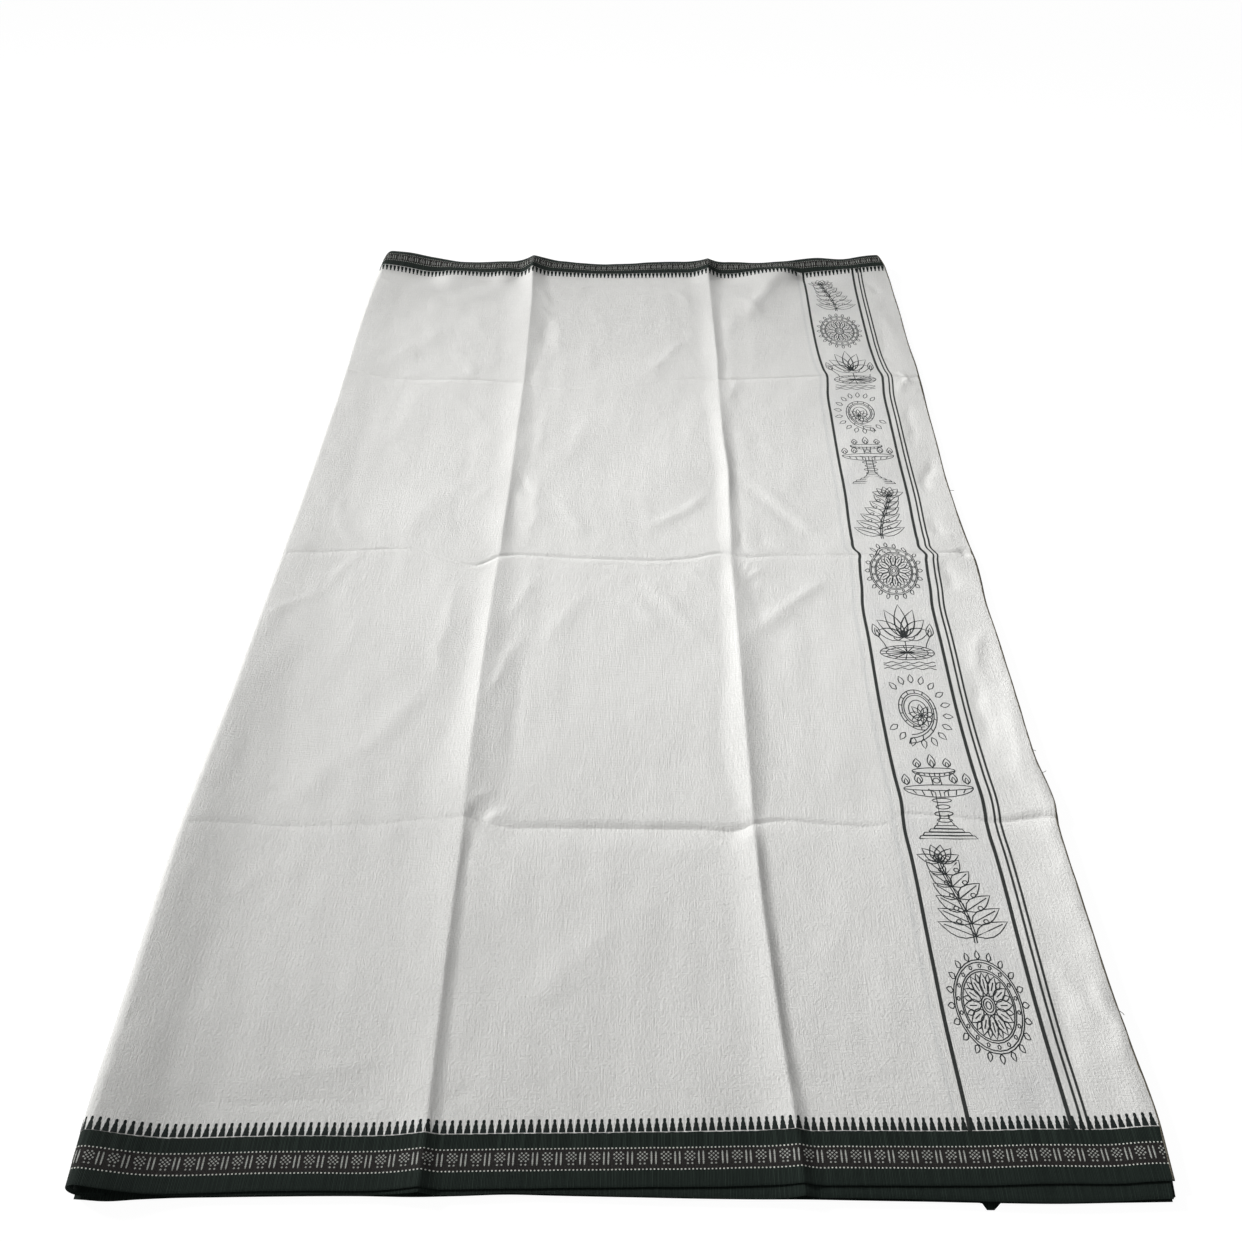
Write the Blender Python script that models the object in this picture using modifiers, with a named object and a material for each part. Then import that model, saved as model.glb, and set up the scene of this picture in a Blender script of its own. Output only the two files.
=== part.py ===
"""A folded cotton dhoti cloth lying flat, with dark woven borders on both selvedges.

The uppermost layer is a thin wall over one rounded solid of the layers hidden below it. X runs along the
near edge, Y away from it across the loom width, and Z up from the surface that the cloth lies on.
"""

import math
from collections import namedtuple

import bmesh
import bpy
import numpy as np

MM = 0.001

# Driving dimensions, in metres. The folded cloth is 0.667 wide and 1.235 long, the loom width.
WALL = 1.2 * MM
GAP = 0.35 * MM
SLOPE_STEP = 1 * MM
LAYERS_HEIGHT = 5.0 * MM
LEAST_HEIGHT = 2.6 * MM
KARA_WIDTH = 44 * MM
UNDER_KARA_WIDTH = 30 * MM
COLLECTION_NAME = "dhoti_cloth"

# The tables below measure x from the middle of the near edge and y from that edge. The part's own origin is
# under the middle of the cloth's box, which lies here in those measures.
MIDDLE_X = -0.0016
MIDDLE_Y = 0.6152

# The wall turns down round the fold at the left, to this angle below the level of the fold's middle.
FOLD_TURN_END = -28.0
FOLD_TURN_STEPS = 4
# How far in from the fold's outer edge the layers' height sets its rounding.
FOLD_INSET = 4 * MM

# Sections across the cloth: distance from the near edge, outer edge at the fold, the two long creases and
# the cut ends at the right (metres).
Section = namedtuple("Section", "y fold crease_1 crease_2 ends")
SECTIONS = (
    Section(0.000, -0.3334, -0.1215, 0.1110, 0.3350),
    Section(0.050, -0.3362, -0.1220, 0.1085, 0.3380),
    Section(0.100, -0.3372, -0.1230, 0.1050, 0.3358),
    Section(0.160, -0.3391, -0.1240, 0.1020, 0.3338),
    Section(0.210, -0.3406, -0.1243, 0.0995, 0.3334),
    Section(0.277, -0.3418, -0.1245, 0.0985, 0.3322),
    Section(0.344, -0.3404, -0.1262, 0.0985, 0.3322),
    Section(0.410, -0.3385, -0.1265, 0.0985, 0.3321),
    Section(0.490, -0.3377, -0.1265, 0.0985, 0.3327),
    Section(0.577, -0.3367, -0.1258, 0.0985, 0.3360),
    Section(0.605, -0.3364, -0.1248, 0.0985, 0.3340),
    Section(0.700, -0.3354, -0.1243, 0.1010, 0.3296),
    Section(0.800, -0.3349, -0.1240, 0.1005, 0.3314),
    Section(0.885, -0.3348, -0.1240, 0.1000, 0.3328),
    Section(0.936, -0.3355, -0.1242, 0.1005, 0.3343),
    Section(1.010, -0.3369, -0.1257, 0.1005, 0.3344),
    Section(1.120, -0.3372, -0.1280, 0.0998, 0.3354),
    Section(1.190, -0.3346, -0.1310, 0.0990, 0.3325),
    Section(1.240, -0.3296, -0.1320, 0.1000, 0.3240),
)

# How high the cloth tents at each long crease, and how wide its flanks are to the left and right, in
# millimetres, by the distance from the near edge.
Ridge = namedtuple("Ridge", "y height left right")
RIDGE_1 = (
    Ridge(0.000, 5.0, 30, 14),
    Ridge(0.050, 3.4, 32, 12),
    Ridge(0.265, 2.8, 36, 12),
    Ridge(0.350, 4.2, 30, 34),
    Ridge(0.450, 3.4, 20, 32),
    Ridge(0.605, 1.8, 18, 16),
    Ridge(0.700, 2.6, 30, 14),
    Ridge(0.928, 2.2, 24, 14),
    Ridge(1.060, 3.8, 34, 26),
    Ridge(1.165, 6.0, 30, 22),
    Ridge(1.200, 8.0, 24, 24),
    Ridge(1.240, 6.5, 34, 40),
)
RIDGE_2 = (
    Ridge(0.000, 4.0, 22, 14),
    Ridge(0.050, 3.4, 26, 12),
    Ridge(0.265, 2.8, 22, 12),
    Ridge(0.350, 3.8, 22, 18),
    Ridge(0.490, 3.4, 18, 22),
    Ridge(0.605, 1.6, 14, 12),
    Ridge(0.730, 3.3, 16, 14),
    Ridge(0.900, 2.4, 20, 20),
    Ridge(1.030, 2.8, 20, 14),
    Ridge(1.130, 2.6, 24, 18),
    Ridge(1.200, 8.6, 28, 18),
    Ridge(1.240, 6.0, 34, 26),
)
FLANK_POWER = 1.7

# How the cloth rises towards the fold, and from how far in, both in millimetres.
Roll = namedtuple("Roll", "y height reach")
FOLD_ROLL = (
    Roll(0.000, 12.0, 44),
    Roll(0.120, 10.6, 42),
    Roll(0.300, 7.2, 36),
    Roll(0.500, 5.4, 40),
    Roll(0.850, 4.2, 38),
    Roll(1.120, 3.0, 34),
    Roll(1.240, 1.0, 30),
)

# Creases that run from side to side: their distance from the near edge at each long line (metres), and
# how deep they are in each of the three columns between those lines (millimetres).
CrossCrease = namedtuple("CrossCrease", "y_fold y_crease_1 y_crease_2 y_ends deep_1 deep_2 deep_3")
CROSS_CREASES = (
    CrossCrease(0.2770, 0.2800, 0.2765, 0.2830, 0.6, 2.0, 1.0),
    CrossCrease(0.6060, 0.6060, 0.6070, 0.6100, 0.6, 1.1, 0.7),
    CrossCrease(0.9500, 0.9210, 0.9305, 0.9390, 0.8, 0.4, 0.7),
)
CROSS_CREASE_REACH = 9 * MM
# Where the fold, the two long creases and the cut ends lie across the cloth, on average.
LONG_LINES = (-0.337, -0.126, 0.102, 0.334)
DEPTH_BLEND = 6 * MM

# Softer waves and pulls of the top layer, each a low ridge or trough along a straight line (metres), with
# its height (millimetres, below zero for a trough) and reach to either side (metres).
Wave = namedtuple("Wave", "x_from y_from x_to y_to height reach")
WAVES = (
    Wave(-0.300, 0.960, -0.215, 1.060, 0.9, 0.014),
    Wave(-0.252, 1.140, -0.172, 1.126, 1.2, 0.010),
    Wave(-0.235, 0.330, -0.165, 0.442, 1.1, 0.011),
    Wave(-0.290, 0.500, -0.262, 0.614, 0.9, 0.010),
    Wave(-0.228, 0.628, -0.190, 0.720, 0.8, 0.014),
    Wave(-0.120, 0.405, -0.099, 0.495, 1.0, 0.010),
    Wave(-0.080, 0.462, -0.026, 0.562, 1.0, 0.011),
    Wave(0.012, 0.574, 0.075, 0.482, 1.3, 0.010),
    Wave(0.010, 0.637, 0.090, 0.718, 1.4, 0.010),
    Wave(0.024, 0.206, -0.092, 0.108, 0.8, 0.012),
    Wave(0.098, 0.484, 0.196, 0.588, 1.6, 0.010),
    Wave(0.104, 0.735, 0.188, 0.616, -1.3, 0.010),
    Wave(0.186, 0.240, 0.120, 0.120, 0.7, 0.014),
    Wave(0.208, 1.216, 0.130, 1.050, 3.2, 0.015),
    Wave(0.326, 0.050, 0.322, 0.270, 1.7, 0.011),
    Wave(0.327, 0.320, 0.324, 0.520, 1.2, 0.010),
)

# The near and far selvedges from left to right: where the top layer ends and how far it lifts there
# (millimetres above or below the level of the rest), and at the near side where the layer below it ends.
NearEdge = namedtuple("NearEdge", "x top_y under_y lift")
NEAR_EDGE = (
    NearEdge(-0.340, -0.0004, 0.0004, 1.5),
    NearEdge(-0.305, -0.0024, -0.0016, 1.0),
    NearEdge(-0.270, -0.0016, -0.0024, 0.0),
    NearEdge(-0.200, 0.0003, -0.0016, 0.0),
    NearEdge(-0.125, 0.0007, -0.0020, 0.0),
    NearEdge(-0.040, 0.0021, -0.0012, 0.0),
    NearEdge(0.050, 0.0028, -0.0036, 0.0),
    NearEdge(0.140, 0.0032, -0.0039, 0.2),
    NearEdge(0.220, 0.0032, -0.0059, 0.6),
    NearEdge(0.300, 0.0041, -0.0056, 0.9),
    NearEdge(0.340, 0.0055, -0.0058, 1.0),
)

# The far selvedge too: the swell is the height of the low hills along the inner side of its border.
FarEdge = namedtuple("FarEdge", "x y lift swell")
FAR_EDGE = (
    FarEdge(-0.340, 1.2370, 10.8, -2.0),
    FarEdge(-0.300, 1.2350, 9.4, -4.6),
    FarEdge(-0.265, 1.2320, 3.7, -5.0),
    FarEdge(-0.235, 1.2295, -1.0, 2.0),
    FarEdge(-0.200, 1.2289, -1.4, 1.0),
    FarEdge(-0.160, 1.2286, -0.4, 0.6),
    FarEdge(-0.120, 1.2285, 1.0, 0.0),
    FarEdge(-0.060, 1.2285, -3.0, 1.0),
    FarEdge(-0.012, 1.2285, -3.2, 0.6),
    FarEdge(0.050, 1.2285, -0.9, -0.6),
    FarEdge(0.100, 1.2285, -2.0, 0.4),
    FarEdge(0.125, 1.2285, -0.6, -1.6),
    FarEdge(0.180, 1.2287, -2.2, 5.6),
    FarEdge(0.215, 1.2297, 1.4, -1.0),
    FarEdge(0.245, 1.2310, 4.2, -2.6),
    FarEdge(0.280, 1.2310, 2.2, 1.6),
    FarEdge(0.340, 1.2330, 7.0, 2.0),
)
SWELL_IN = 42 * MM
SWELL_REACH = 26 * MM
EDGE_LIFT_REACH = 75 * MM

# The hem of the far border: how far in from its selvedge, and how high the cloth rises there (millimetres).
HEM_IN = (0, 5, 12, 24, 34, 44, 54, 70)
HEM_RISE = (1.6, 2.9, 3.5, 3.1, 2.3, 0.1, -0.4, 0.0)

# The rim of the hidden layers, from its top to the surface: how far down it is, as a share of the rim's
# height, and how far each side stands out there (millimetres). The dips part one layer from the next.
RimLevel = namedtuple("RimLevel", "share near ends far")
RIM = (
    RimLevel(1.000, 0.0, 0.0, 0.0),
    RimLevel(0.933, 0.4, 0.4, 0.3),
    RimLevel(0.740, 0.4, 0.5, 0.3),
    RimLevel(0.700, -1.2, -1.0, -1.2),
    RimLevel(0.500, 1.0, 0.0, 0.8),
    RimLevel(0.450, -1.0, -1.4, -1.2),
    RimLevel(0.250, 0.5, 0.6, 0.2),
    RimLevel(0.200, -1.4, -1.2, -1.2),
    RimLevel(0.067, 0.2, -0.2, 0.4),
    RimLevel(0.000, 0.0, -0.6, 0.2),
)

# Steps of the mesh between one crease and the next, packed closer at the creases.
COLUMN_STEPS = (9, 10, 9)
ROW_STEPS = (8, 9, 9, 8)
KARA_STEPS = 3
CLOSER_AT_CREASES = 0.78

CLOTH_GROUND = (0.74, 0.74, 0.71, 1.0)
KARA_GREEN = (0.014, 0.022, 0.019, 1.0)


def smooth_between(value, places, heights):
    """The value of a smooth curve through points given by their places and heights."""
    places, heights = np.asarray(places, float), np.asarray(heights, float)
    slopes = np.gradient(heights, places)
    value = np.clip(value, places[0], places[-1])
    left = np.clip(np.searchsorted(places, value, side="right") - 1, 0, len(places) - 2)
    span = places[left + 1] - places[left]
    t = (value - places[left]) / span
    rise = heights[left + 1] - heights[left]
    start, end = slopes[left] * span, slopes[left + 1] * span
    return heights[left] + t * (start + t * (3 * rise - 2 * start - end + t * (start + end - 2 * rise)))


def from_table(table, key, name, value):
    """A named column of a table at a value of its key column."""
    return smooth_between(value, [getattr(row, key) for row in table], [getattr(row, name) for row in table])


def section(y, name):
    return from_table(SECTIONS, "y", name, y)


def near_edge(x, name):
    return from_table(NEAR_EDGE, "x", name, x)


def far_edge(x, name):
    return from_table(FAR_EDGE, "x", name, x)


def cross_crease_y(crease, x):
    """Where a cross crease lies at x."""
    return smooth_between(x, LONG_LINES, (crease.y_fold, crease.y_crease_1, crease.y_crease_2, crease.y_ends))


def cross_crease_depth(crease, x):
    """How deep a cross crease is at x, softened where it passes a long crease."""
    past_first = 1 / (1 + np.exp(-(x - LONG_LINES[1]) / DEPTH_BLEND))
    past_second = 1 / (1 + np.exp(-(x - LONG_LINES[2]) / DEPTH_BLEND))
    change_1, change_2 = crease.deep_2 - crease.deep_1, crease.deep_3 - crease.deep_2
    return crease.deep_1 + change_1 * past_first + change_2 * past_second


def wave_height(wave, x, y):
    """A low ridge that is highest at the middle of its line and fades at both ends."""
    run_x, run_y = wave.x_to - wave.x_from, wave.y_to - wave.y_from
    length = math.hypot(run_x, run_y)
    along = ((x - wave.x_from) * run_x + (y - wave.y_from) * run_y) / length
    aside = ((x - wave.x_from) * run_y - (y - wave.y_from) * run_x) / length
    rise = np.sin(math.pi * np.clip(along / length, 0, 1))
    return wave.height * MM * rise * np.exp(-((aside / wave.reach) ** 2))


def top_of_layers(x, y):
    """The height of the hidden layers' upper surface, which the top layer follows."""
    height = LAYERS_HEIGHT
    for crease, ridge in (("crease_1", RIDGE_1), ("crease_2", RIDGE_2)):
        aside = x - section(y, crease)
        width = np.where(aside < 0, from_table(ridge, "y", "left", y), from_table(ridge, "y", "right", y))
        flank = np.clip(1 - np.abs(aside) / (width * MM), 0, 1) ** FLANK_POWER
        height = height + from_table(ridge, "y", "height", y) * MM * flank
    for crease in CROSS_CREASES:
        aside = y - cross_crease_y(crease, x)
        height = height - cross_crease_depth(crease, x) * MM * np.exp(-((aside / CROSS_CREASE_REACH) ** 2))
    for wave in WAVES:
        height = height + wave_height(wave, x, y)
    from_near = np.maximum(y - near_edge(x, "top_y"), 0.0)
    from_far = np.maximum(far_edge(x, "y") - y, 0.0)
    height = height + near_edge(x, "lift") * MM * np.exp(-((from_near / EDGE_LIFT_REACH) ** 2))
    height = height + far_edge(x, "lift") * MM * np.exp(-((from_far / EDGE_LIFT_REACH) ** 2))
    height = height + smooth_between(from_far / MM, HEM_IN, HEM_RISE) * MM
    swell = np.exp(-(((from_far - SWELL_IN) / SWELL_REACH) ** 2))
    height = height + far_edge(x, "swell") * MM * swell
    from_fold = np.maximum(x - section(y, "fold"), 0.0) / (from_table(FOLD_ROLL, "y", "reach", y) * MM)
    height = height + from_table(FOLD_ROLL, "y", "height", y) * MM * np.exp(-(from_fold**2))
    return np.maximum(height, LEAST_HEIGHT)


def packed_closer(steps):
    """Shares from 0 to 1 that lie closer together at both ends."""
    even = np.linspace(0.0, 1.0, steps + 1)
    return even - CLOSER_AT_CREASES * np.sin(2 * math.pi * even) / (2 * math.pi)


def column_places():
    """Each column of the mesh as the stretch between two long lines and its share of the way across it."""
    places = [(0, 0.0)]
    for stretch, steps in enumerate(COLUMN_STEPS):
        places += [(stretch, share) for share in packed_closer(steps)[1:]]
    return places


def fold_radius(y):
    """Half the height of the hidden layers where they round over at the fold."""
    return 0.5 * top_of_layers(section(y, "fold") + FOLD_INSET, y)


def column_x(place, y):
    """The x of a column at the distance y. The first starts where the fold's rounding ends."""
    stretch, share = place
    start_of_top = section(y, "fold") + WALL + GAP + fold_radius(y)
    lines = (start_of_top, section(y, "crease_1"), section(y, "crease_2"), section(y, "ends"))
    return lines[stretch] + (lines[stretch + 1] - lines[stretch]) * share


def ground_rows(x):
    """The rows of the ground at x, from one border's inner edge to the other's, one on each cross crease."""
    near = near_edge(x, "top_y") + KARA_WIDTH + GAP / 2
    far = far_edge(x, "y") - KARA_WIDTH - GAP / 2
    lines = [near] + [cross_crease_y(crease, x) for crease in CROSS_CREASES] + [far]
    rows = [near]
    for start, end, steps in zip(lines, lines[1:], ROW_STEPS):
        rows += list(start + (end - start) * packed_closer(steps)[1:])
    return np.array(rows)


def near_kara_rows(x):
    """The rows of the near border of the top layer at x."""
    start = near_edge(x, "top_y")
    return np.linspace(start, start + KARA_WIDTH - GAP / 2, KARA_STEPS + 1)


def far_kara_rows(x):
    """The rows of the far border of the top layer at x."""
    end = far_edge(x, "y")
    return np.linspace(end - KARA_WIDTH + GAP / 2, end, KARA_STEPS + 1)


def under_kara_rows(x):
    """The rows of the border below the top one, from its own edge to where it is well covered."""
    return np.linspace(near_edge(x, "under_y"), near_edge(x, "top_y") + UNDER_KARA_WIDTH, KARA_STEPS + 1)


def surface_points(x, y, lift):
    """Points on the hidden layers' upper surface, moved out along its normal by lift."""
    slope_x = (top_of_layers(x + SLOPE_STEP, y) - top_of_layers(x - SLOPE_STEP, y)) / (2 * SLOPE_STEP)
    slope_y = (top_of_layers(x, y + SLOPE_STEP) - top_of_layers(x, y - SLOPE_STEP)) / (2 * SLOPE_STEP)
    out = lift / np.sqrt(1 + slope_x**2 + slope_y**2)
    return np.column_stack((x - slope_x * out, y - slope_y * out, top_of_layers(x, y) + out))


def fold_points(angle, y, lift):
    """Points on the rounding at the fold, at an angle above (or below) the level of its middle."""
    radius = fold_radius(y)
    middle_x = section(y, "fold") + WALL + GAP + radius
    side, up = math.cos(math.radians(angle)), math.sin(math.radians(angle))
    return np.column_stack((middle_x - (radius + lift) * side, y, radius + (radius + lift) * up))


def cloth_points(rows_at, lift, with_fold=True):
    """A grid of points of a layer, one line of them for each column, with the fold's rounding first."""
    places = column_places()
    grid = []
    if with_fold:
        y = rows_at(column_x(places[0], MIDDLE_Y))
        turn = (90 - FOLD_TURN_END) / FOLD_TURN_STEPS
        grid = [fold_points(FOLD_TURN_END + turn * step, y, lift) for step in range(FOLD_TURN_STEPS)]
    for place in places:
        y = rows_at(column_x(place, MIDDLE_Y))
        grid.append(surface_points(column_x(place, y), y, lift))
    return grid


def add_grid(mesh, grid):
    """Adds a grid of quads to a bmesh, facing up where its lines run along +X and its points along +Y."""
    verts = [[mesh.verts.new(point) for point in line] for line in grid]
    for left, right in zip(verts, verts[1:]):
        for row in range(len(left) - 1):
            mesh.faces.new((left[row], right[row], right[row + 1], left[row + 1]))
    return verts


def finish_object(name, mesh, material, collection):
    """Makes an object of a bmesh, smooth but for its sharp edges, in the collection."""
    data = bpy.data.meshes.new(name)
    mesh.to_mesh(data)
    mesh.free()
    data.shade_smooth()
    data.set_sharp_from_angle(angle=math.radians(50))
    data.materials.append(material)
    thing = bpy.data.objects.new(name, data)
    thing.location = (-MIDDLE_X, -MIDDLE_Y, 0.0)
    collection.objects.link(thing)
    return thing


def make_wall(name, rows_at, lift, material, collection, with_fold=True):
    """A layer of cloth: an open surface that Solidify thickens outwards."""
    mesh = bmesh.new()
    add_grid(mesh, cloth_points(rows_at, lift, with_fold))
    wall = finish_object(name, mesh, material, collection)
    thicken = wall.modifiers.new("cloth wall", "SOLIDIFY")
    thicken.thickness = WALL
    thicken.offset = 1.0
    thicken.use_even_offset = True
    return wall


def layer_top_points():
    """The hidden layers' upper surface, lower by one wall where the near border of the next layer lies."""
    grid = []
    for place in column_places():
        x = column_x(place, MIDDLE_Y)
        covered, ground = under_kara_rows(x), ground_rows(x)
        covered[-1] += GAP
        y = np.concatenate((covered, [covered[-1] + GAP], ground, far_kara_rows(x)[1:]))
        line = surface_points(column_x(place, y), y, 0.0)
        line[: len(covered), 2] -= WALL + GAP
        grid.append(line)
    return grid


def rim_loop(grid):
    """The border of a grid, anticlockwise from its near left corner, as (line, row, outward x, outward y)."""
    last_line, last_row = len(grid) - 1, len(grid[0]) - 1
    loop = [(line, 0, 0, -1) for line in range(1, last_line)]
    loop = [(0, 0, -1, -1)] + loop + [(last_line, 0, 1, -1)]
    loop += [(last_line, row, 1, 0) for row in range(1, last_row)] + [(last_line, last_row, 1, 1)]
    loop += [(line, last_row, 0, 1) for line in range(last_line - 1, 0, -1)] + [(0, last_row, -1, 1)]
    return loop + [(0, row, -1, 0) for row in range(last_row - 1, 0, -1)]


def rim_offset(level, out_x, out_y, radius):
    """How far a rim point at a level moves in x and y. The fold's side is a half circle."""
    side = 2 * level.share - 1
    round_out = radius * math.sqrt(max(1 - side * side, 0.0))
    move_x = {-1: -round_out, 0: 0.0, 1: level.ends * MM}[out_x]
    move_y = {-1: -level.near * MM, 0: 0.0, 1: level.far * MM}[out_y]
    return move_x, move_y


def make_layers(name, material, collection):
    """The hidden layers: their upper surface, a rim of stepped layers, and a flat underside."""
    mesh = bmesh.new()
    grid = layer_top_points()
    verts = add_grid(mesh, grid)
    loop = rim_loop(grid)
    upper = [verts[line][row] for line, row, _, _ in loop]
    for level in RIM[1:]:
        lower = []
        for line, row, out_x, out_y in loop:
            x, y, top = grid[line][row]
            move_x, move_y = rim_offset(level, out_x, out_y, top / 2)
            lower.append(mesh.verts.new((x + move_x, y + move_y, top * level.share)))
        for index in range(len(loop)):
            after = (index + 1) % len(loop)
            mesh.faces.new((upper[index], lower[index], lower[after], upper[after]))
        upper = lower
    mesh.faces.new(list(reversed(upper)))
    return finish_object(name, mesh, material, collection)


def make_material(name, colour, roughness):
    material = bpy.data.materials.new(name)
    material.use_nodes = True
    shader = material.node_tree.nodes["Principled BSDF"]
    shader.inputs["Base Color"].default_value = colour
    shader.inputs["Roughness"].default_value = roughness
    shader.inputs["Metallic"].default_value = 0.0
    material.diffuse_color = colour
    return material


def main():
    for thing in list(bpy.data.objects):
        bpy.data.objects.remove(thing)
    collection = bpy.data.collections.new(COLLECTION_NAME)
    bpy.context.scene.collection.children.link(collection)
    ground = make_material("ground cotton", CLOTH_GROUND, 0.85)
    kara = make_material("kara cotton", KARA_GREEN, 0.75)
    make_layers("folded_layers", ground, collection)
    make_wall("under_kara_near", under_kara_rows, -WALL, kara, collection, with_fold=False)
    make_wall("top_ground", ground_rows, GAP, ground, collection)
    make_wall("top_kara_near", near_kara_rows, GAP, kara, collection)
    make_wall("top_kara_far", far_kara_rows, GAP, kara, collection)


main()
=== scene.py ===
"""The looks of a folded cotton dhoti cloth with dark woven borders and a printed band by its cut end.

Every sheet is a grid laid on one smooth form, which holds the fold at the left, the long creases, the cross
creases and the small pulls of the cloth. The woven figures, the print and the loose ends lie on that form.
"""

import logging
import math
from collections.abc import Callable, Sequence
from dataclasses import dataclass, field
from enum import Enum

import bpy
import numpy as np
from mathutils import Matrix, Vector


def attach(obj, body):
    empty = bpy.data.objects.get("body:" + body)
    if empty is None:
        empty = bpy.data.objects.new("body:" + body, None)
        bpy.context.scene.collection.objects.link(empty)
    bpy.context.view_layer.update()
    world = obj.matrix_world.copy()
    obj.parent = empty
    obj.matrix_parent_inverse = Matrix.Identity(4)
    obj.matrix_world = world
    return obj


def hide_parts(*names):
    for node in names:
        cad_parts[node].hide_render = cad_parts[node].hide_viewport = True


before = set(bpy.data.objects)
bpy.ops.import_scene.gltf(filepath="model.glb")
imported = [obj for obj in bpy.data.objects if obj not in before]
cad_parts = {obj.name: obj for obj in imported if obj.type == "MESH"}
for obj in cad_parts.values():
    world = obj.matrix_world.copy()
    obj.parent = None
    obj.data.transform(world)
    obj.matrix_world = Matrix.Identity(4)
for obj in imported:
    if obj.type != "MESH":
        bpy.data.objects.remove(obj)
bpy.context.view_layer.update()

LOG = logging.getLogger("dhoti")
BODY = "root"
UV_NAME = "cloth"
MM = 0.001

# The tables measure x from the middle of the near edge and y from that edge. The origin is under the middle
# of the cloth's box, which lies here in those measures.
MIDDLE_X = -0.0016
MIDDLE_Y = 0.6152


class Selvedge(Enum):
    """The two woven edges of the cloth."""

    NEAR = "near"
    FAR = "far"


class Motif(Enum):
    """The small line drawings of the printed band."""

    ROSETTE = "rosette"
    PAISLEY = "paisley"
    SPRAY = "spray"
    LAMP = "lamp"
    LOTUS = "lotus"


@dataclass(frozen=True)
class Section:
    """A section across the cloth: where its long lines lie at y, in metres."""

    y: float
    fold: float
    crease_1: float
    crease_2: float
    ends: float


SECTIONS = (
    Section(0.000, -0.3334, -0.1215, 0.1110, 0.3350),
    Section(0.050, -0.3362, -0.1220, 0.1085, 0.3372),
    Section(0.100, -0.3372, -0.1230, 0.1050, 0.3341),
    Section(0.160, -0.3391, -0.1240, 0.1020, 0.3323),
    Section(0.210, -0.3406, -0.1243, 0.0995, 0.3322),
    Section(0.277, -0.3418, -0.1245, 0.0985, 0.3322),
    Section(0.300, -0.3414, -0.1255, 0.0985, 0.3344),
    Section(0.344, -0.3404, -0.1262, 0.0985, 0.3303),
    Section(0.410, -0.3385, -0.1265, 0.0985, 0.3305),
    Section(0.490, -0.3377, -0.1265, 0.0985, 0.3308),
    Section(0.545, -0.3371, -0.1262, 0.0987, 0.3306),
    Section(0.577, -0.3367, -0.1258, 0.0985, 0.3324),
    Section(0.605, -0.3364, -0.1248, 0.0985, 0.3330),
    Section(0.632, -0.3361, -0.1248, 0.0995, 0.3310),
    Section(0.700, -0.3354, -0.1243, 0.1010, 0.3296),
    Section(0.740, -0.3352, -0.1240, 0.1025, 0.3295),
    Section(0.800, -0.3349, -0.1240, 0.1005, 0.3314),
    Section(0.885, -0.3348, -0.1240, 0.1000, 0.3328),
    Section(0.936, -0.3355, -0.1242, 0.1005, 0.3343),
    Section(0.960, -0.3359, -0.1246, 0.1010, 0.3350),
    Section(1.010, -0.3369, -0.1257, 0.1005, 0.3344),
    Section(1.120, -0.3372, -0.1280, 0.0998, 0.3354),
    Section(1.190, -0.3346, -0.1310, 0.0990, 0.3325),
    Section(1.240, -0.3296, -0.1320, 0.1000, 0.3240),
)


@dataclass(frozen=True)
class Ridge:
    """How a long crease tents at y (metres): its height and its flanks' widths (millimetres)."""

    y: float
    height: float
    left: float
    right: float


RIDGE_1 = (
    Ridge(0.000, 5.0, 30, 12),
    Ridge(0.050, 3.4, 32, 10),
    Ridge(0.100, 2.9, 36, 9),
    Ridge(0.200, 2.8, 38, 9),
    Ridge(0.265, 2.6, 38, 9),
    Ridge(0.285, 2.6, 36, 14),
    Ridge(0.310, 3.6, 34, 34),
    Ridge(0.350, 4.2, 30, 36),
    Ridge(0.400, 4.0, 20, 36),
    Ridge(0.450, 3.4, 17, 32),
    Ridge(0.520, 2.8, 16, 28),
    Ridge(0.580, 2.4, 16, 24),
    Ridge(0.605, 1.6, 14, 14),
    Ridge(0.640, 3.2, 26, 14),
    Ridge(0.700, 2.4, 30, 9),
    Ridge(0.760, 2.6, 24, 18),
    Ridge(0.840, 2.6, 22, 18),
    Ridge(0.900, 2.4, 22, 14),
    Ridge(0.928, 2.0, 22, 10),
    Ridge(0.990, 2.8, 30, 20),
    Ridge(1.060, 3.8, 34, 26),
    Ridge(1.120, 5.2, 36, 26),
    Ridge(1.165, 6.0, 30, 22),
    Ridge(1.200, 9.0, 20, 22),
    Ridge(1.240, 6.5, 34, 40),
)

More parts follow.
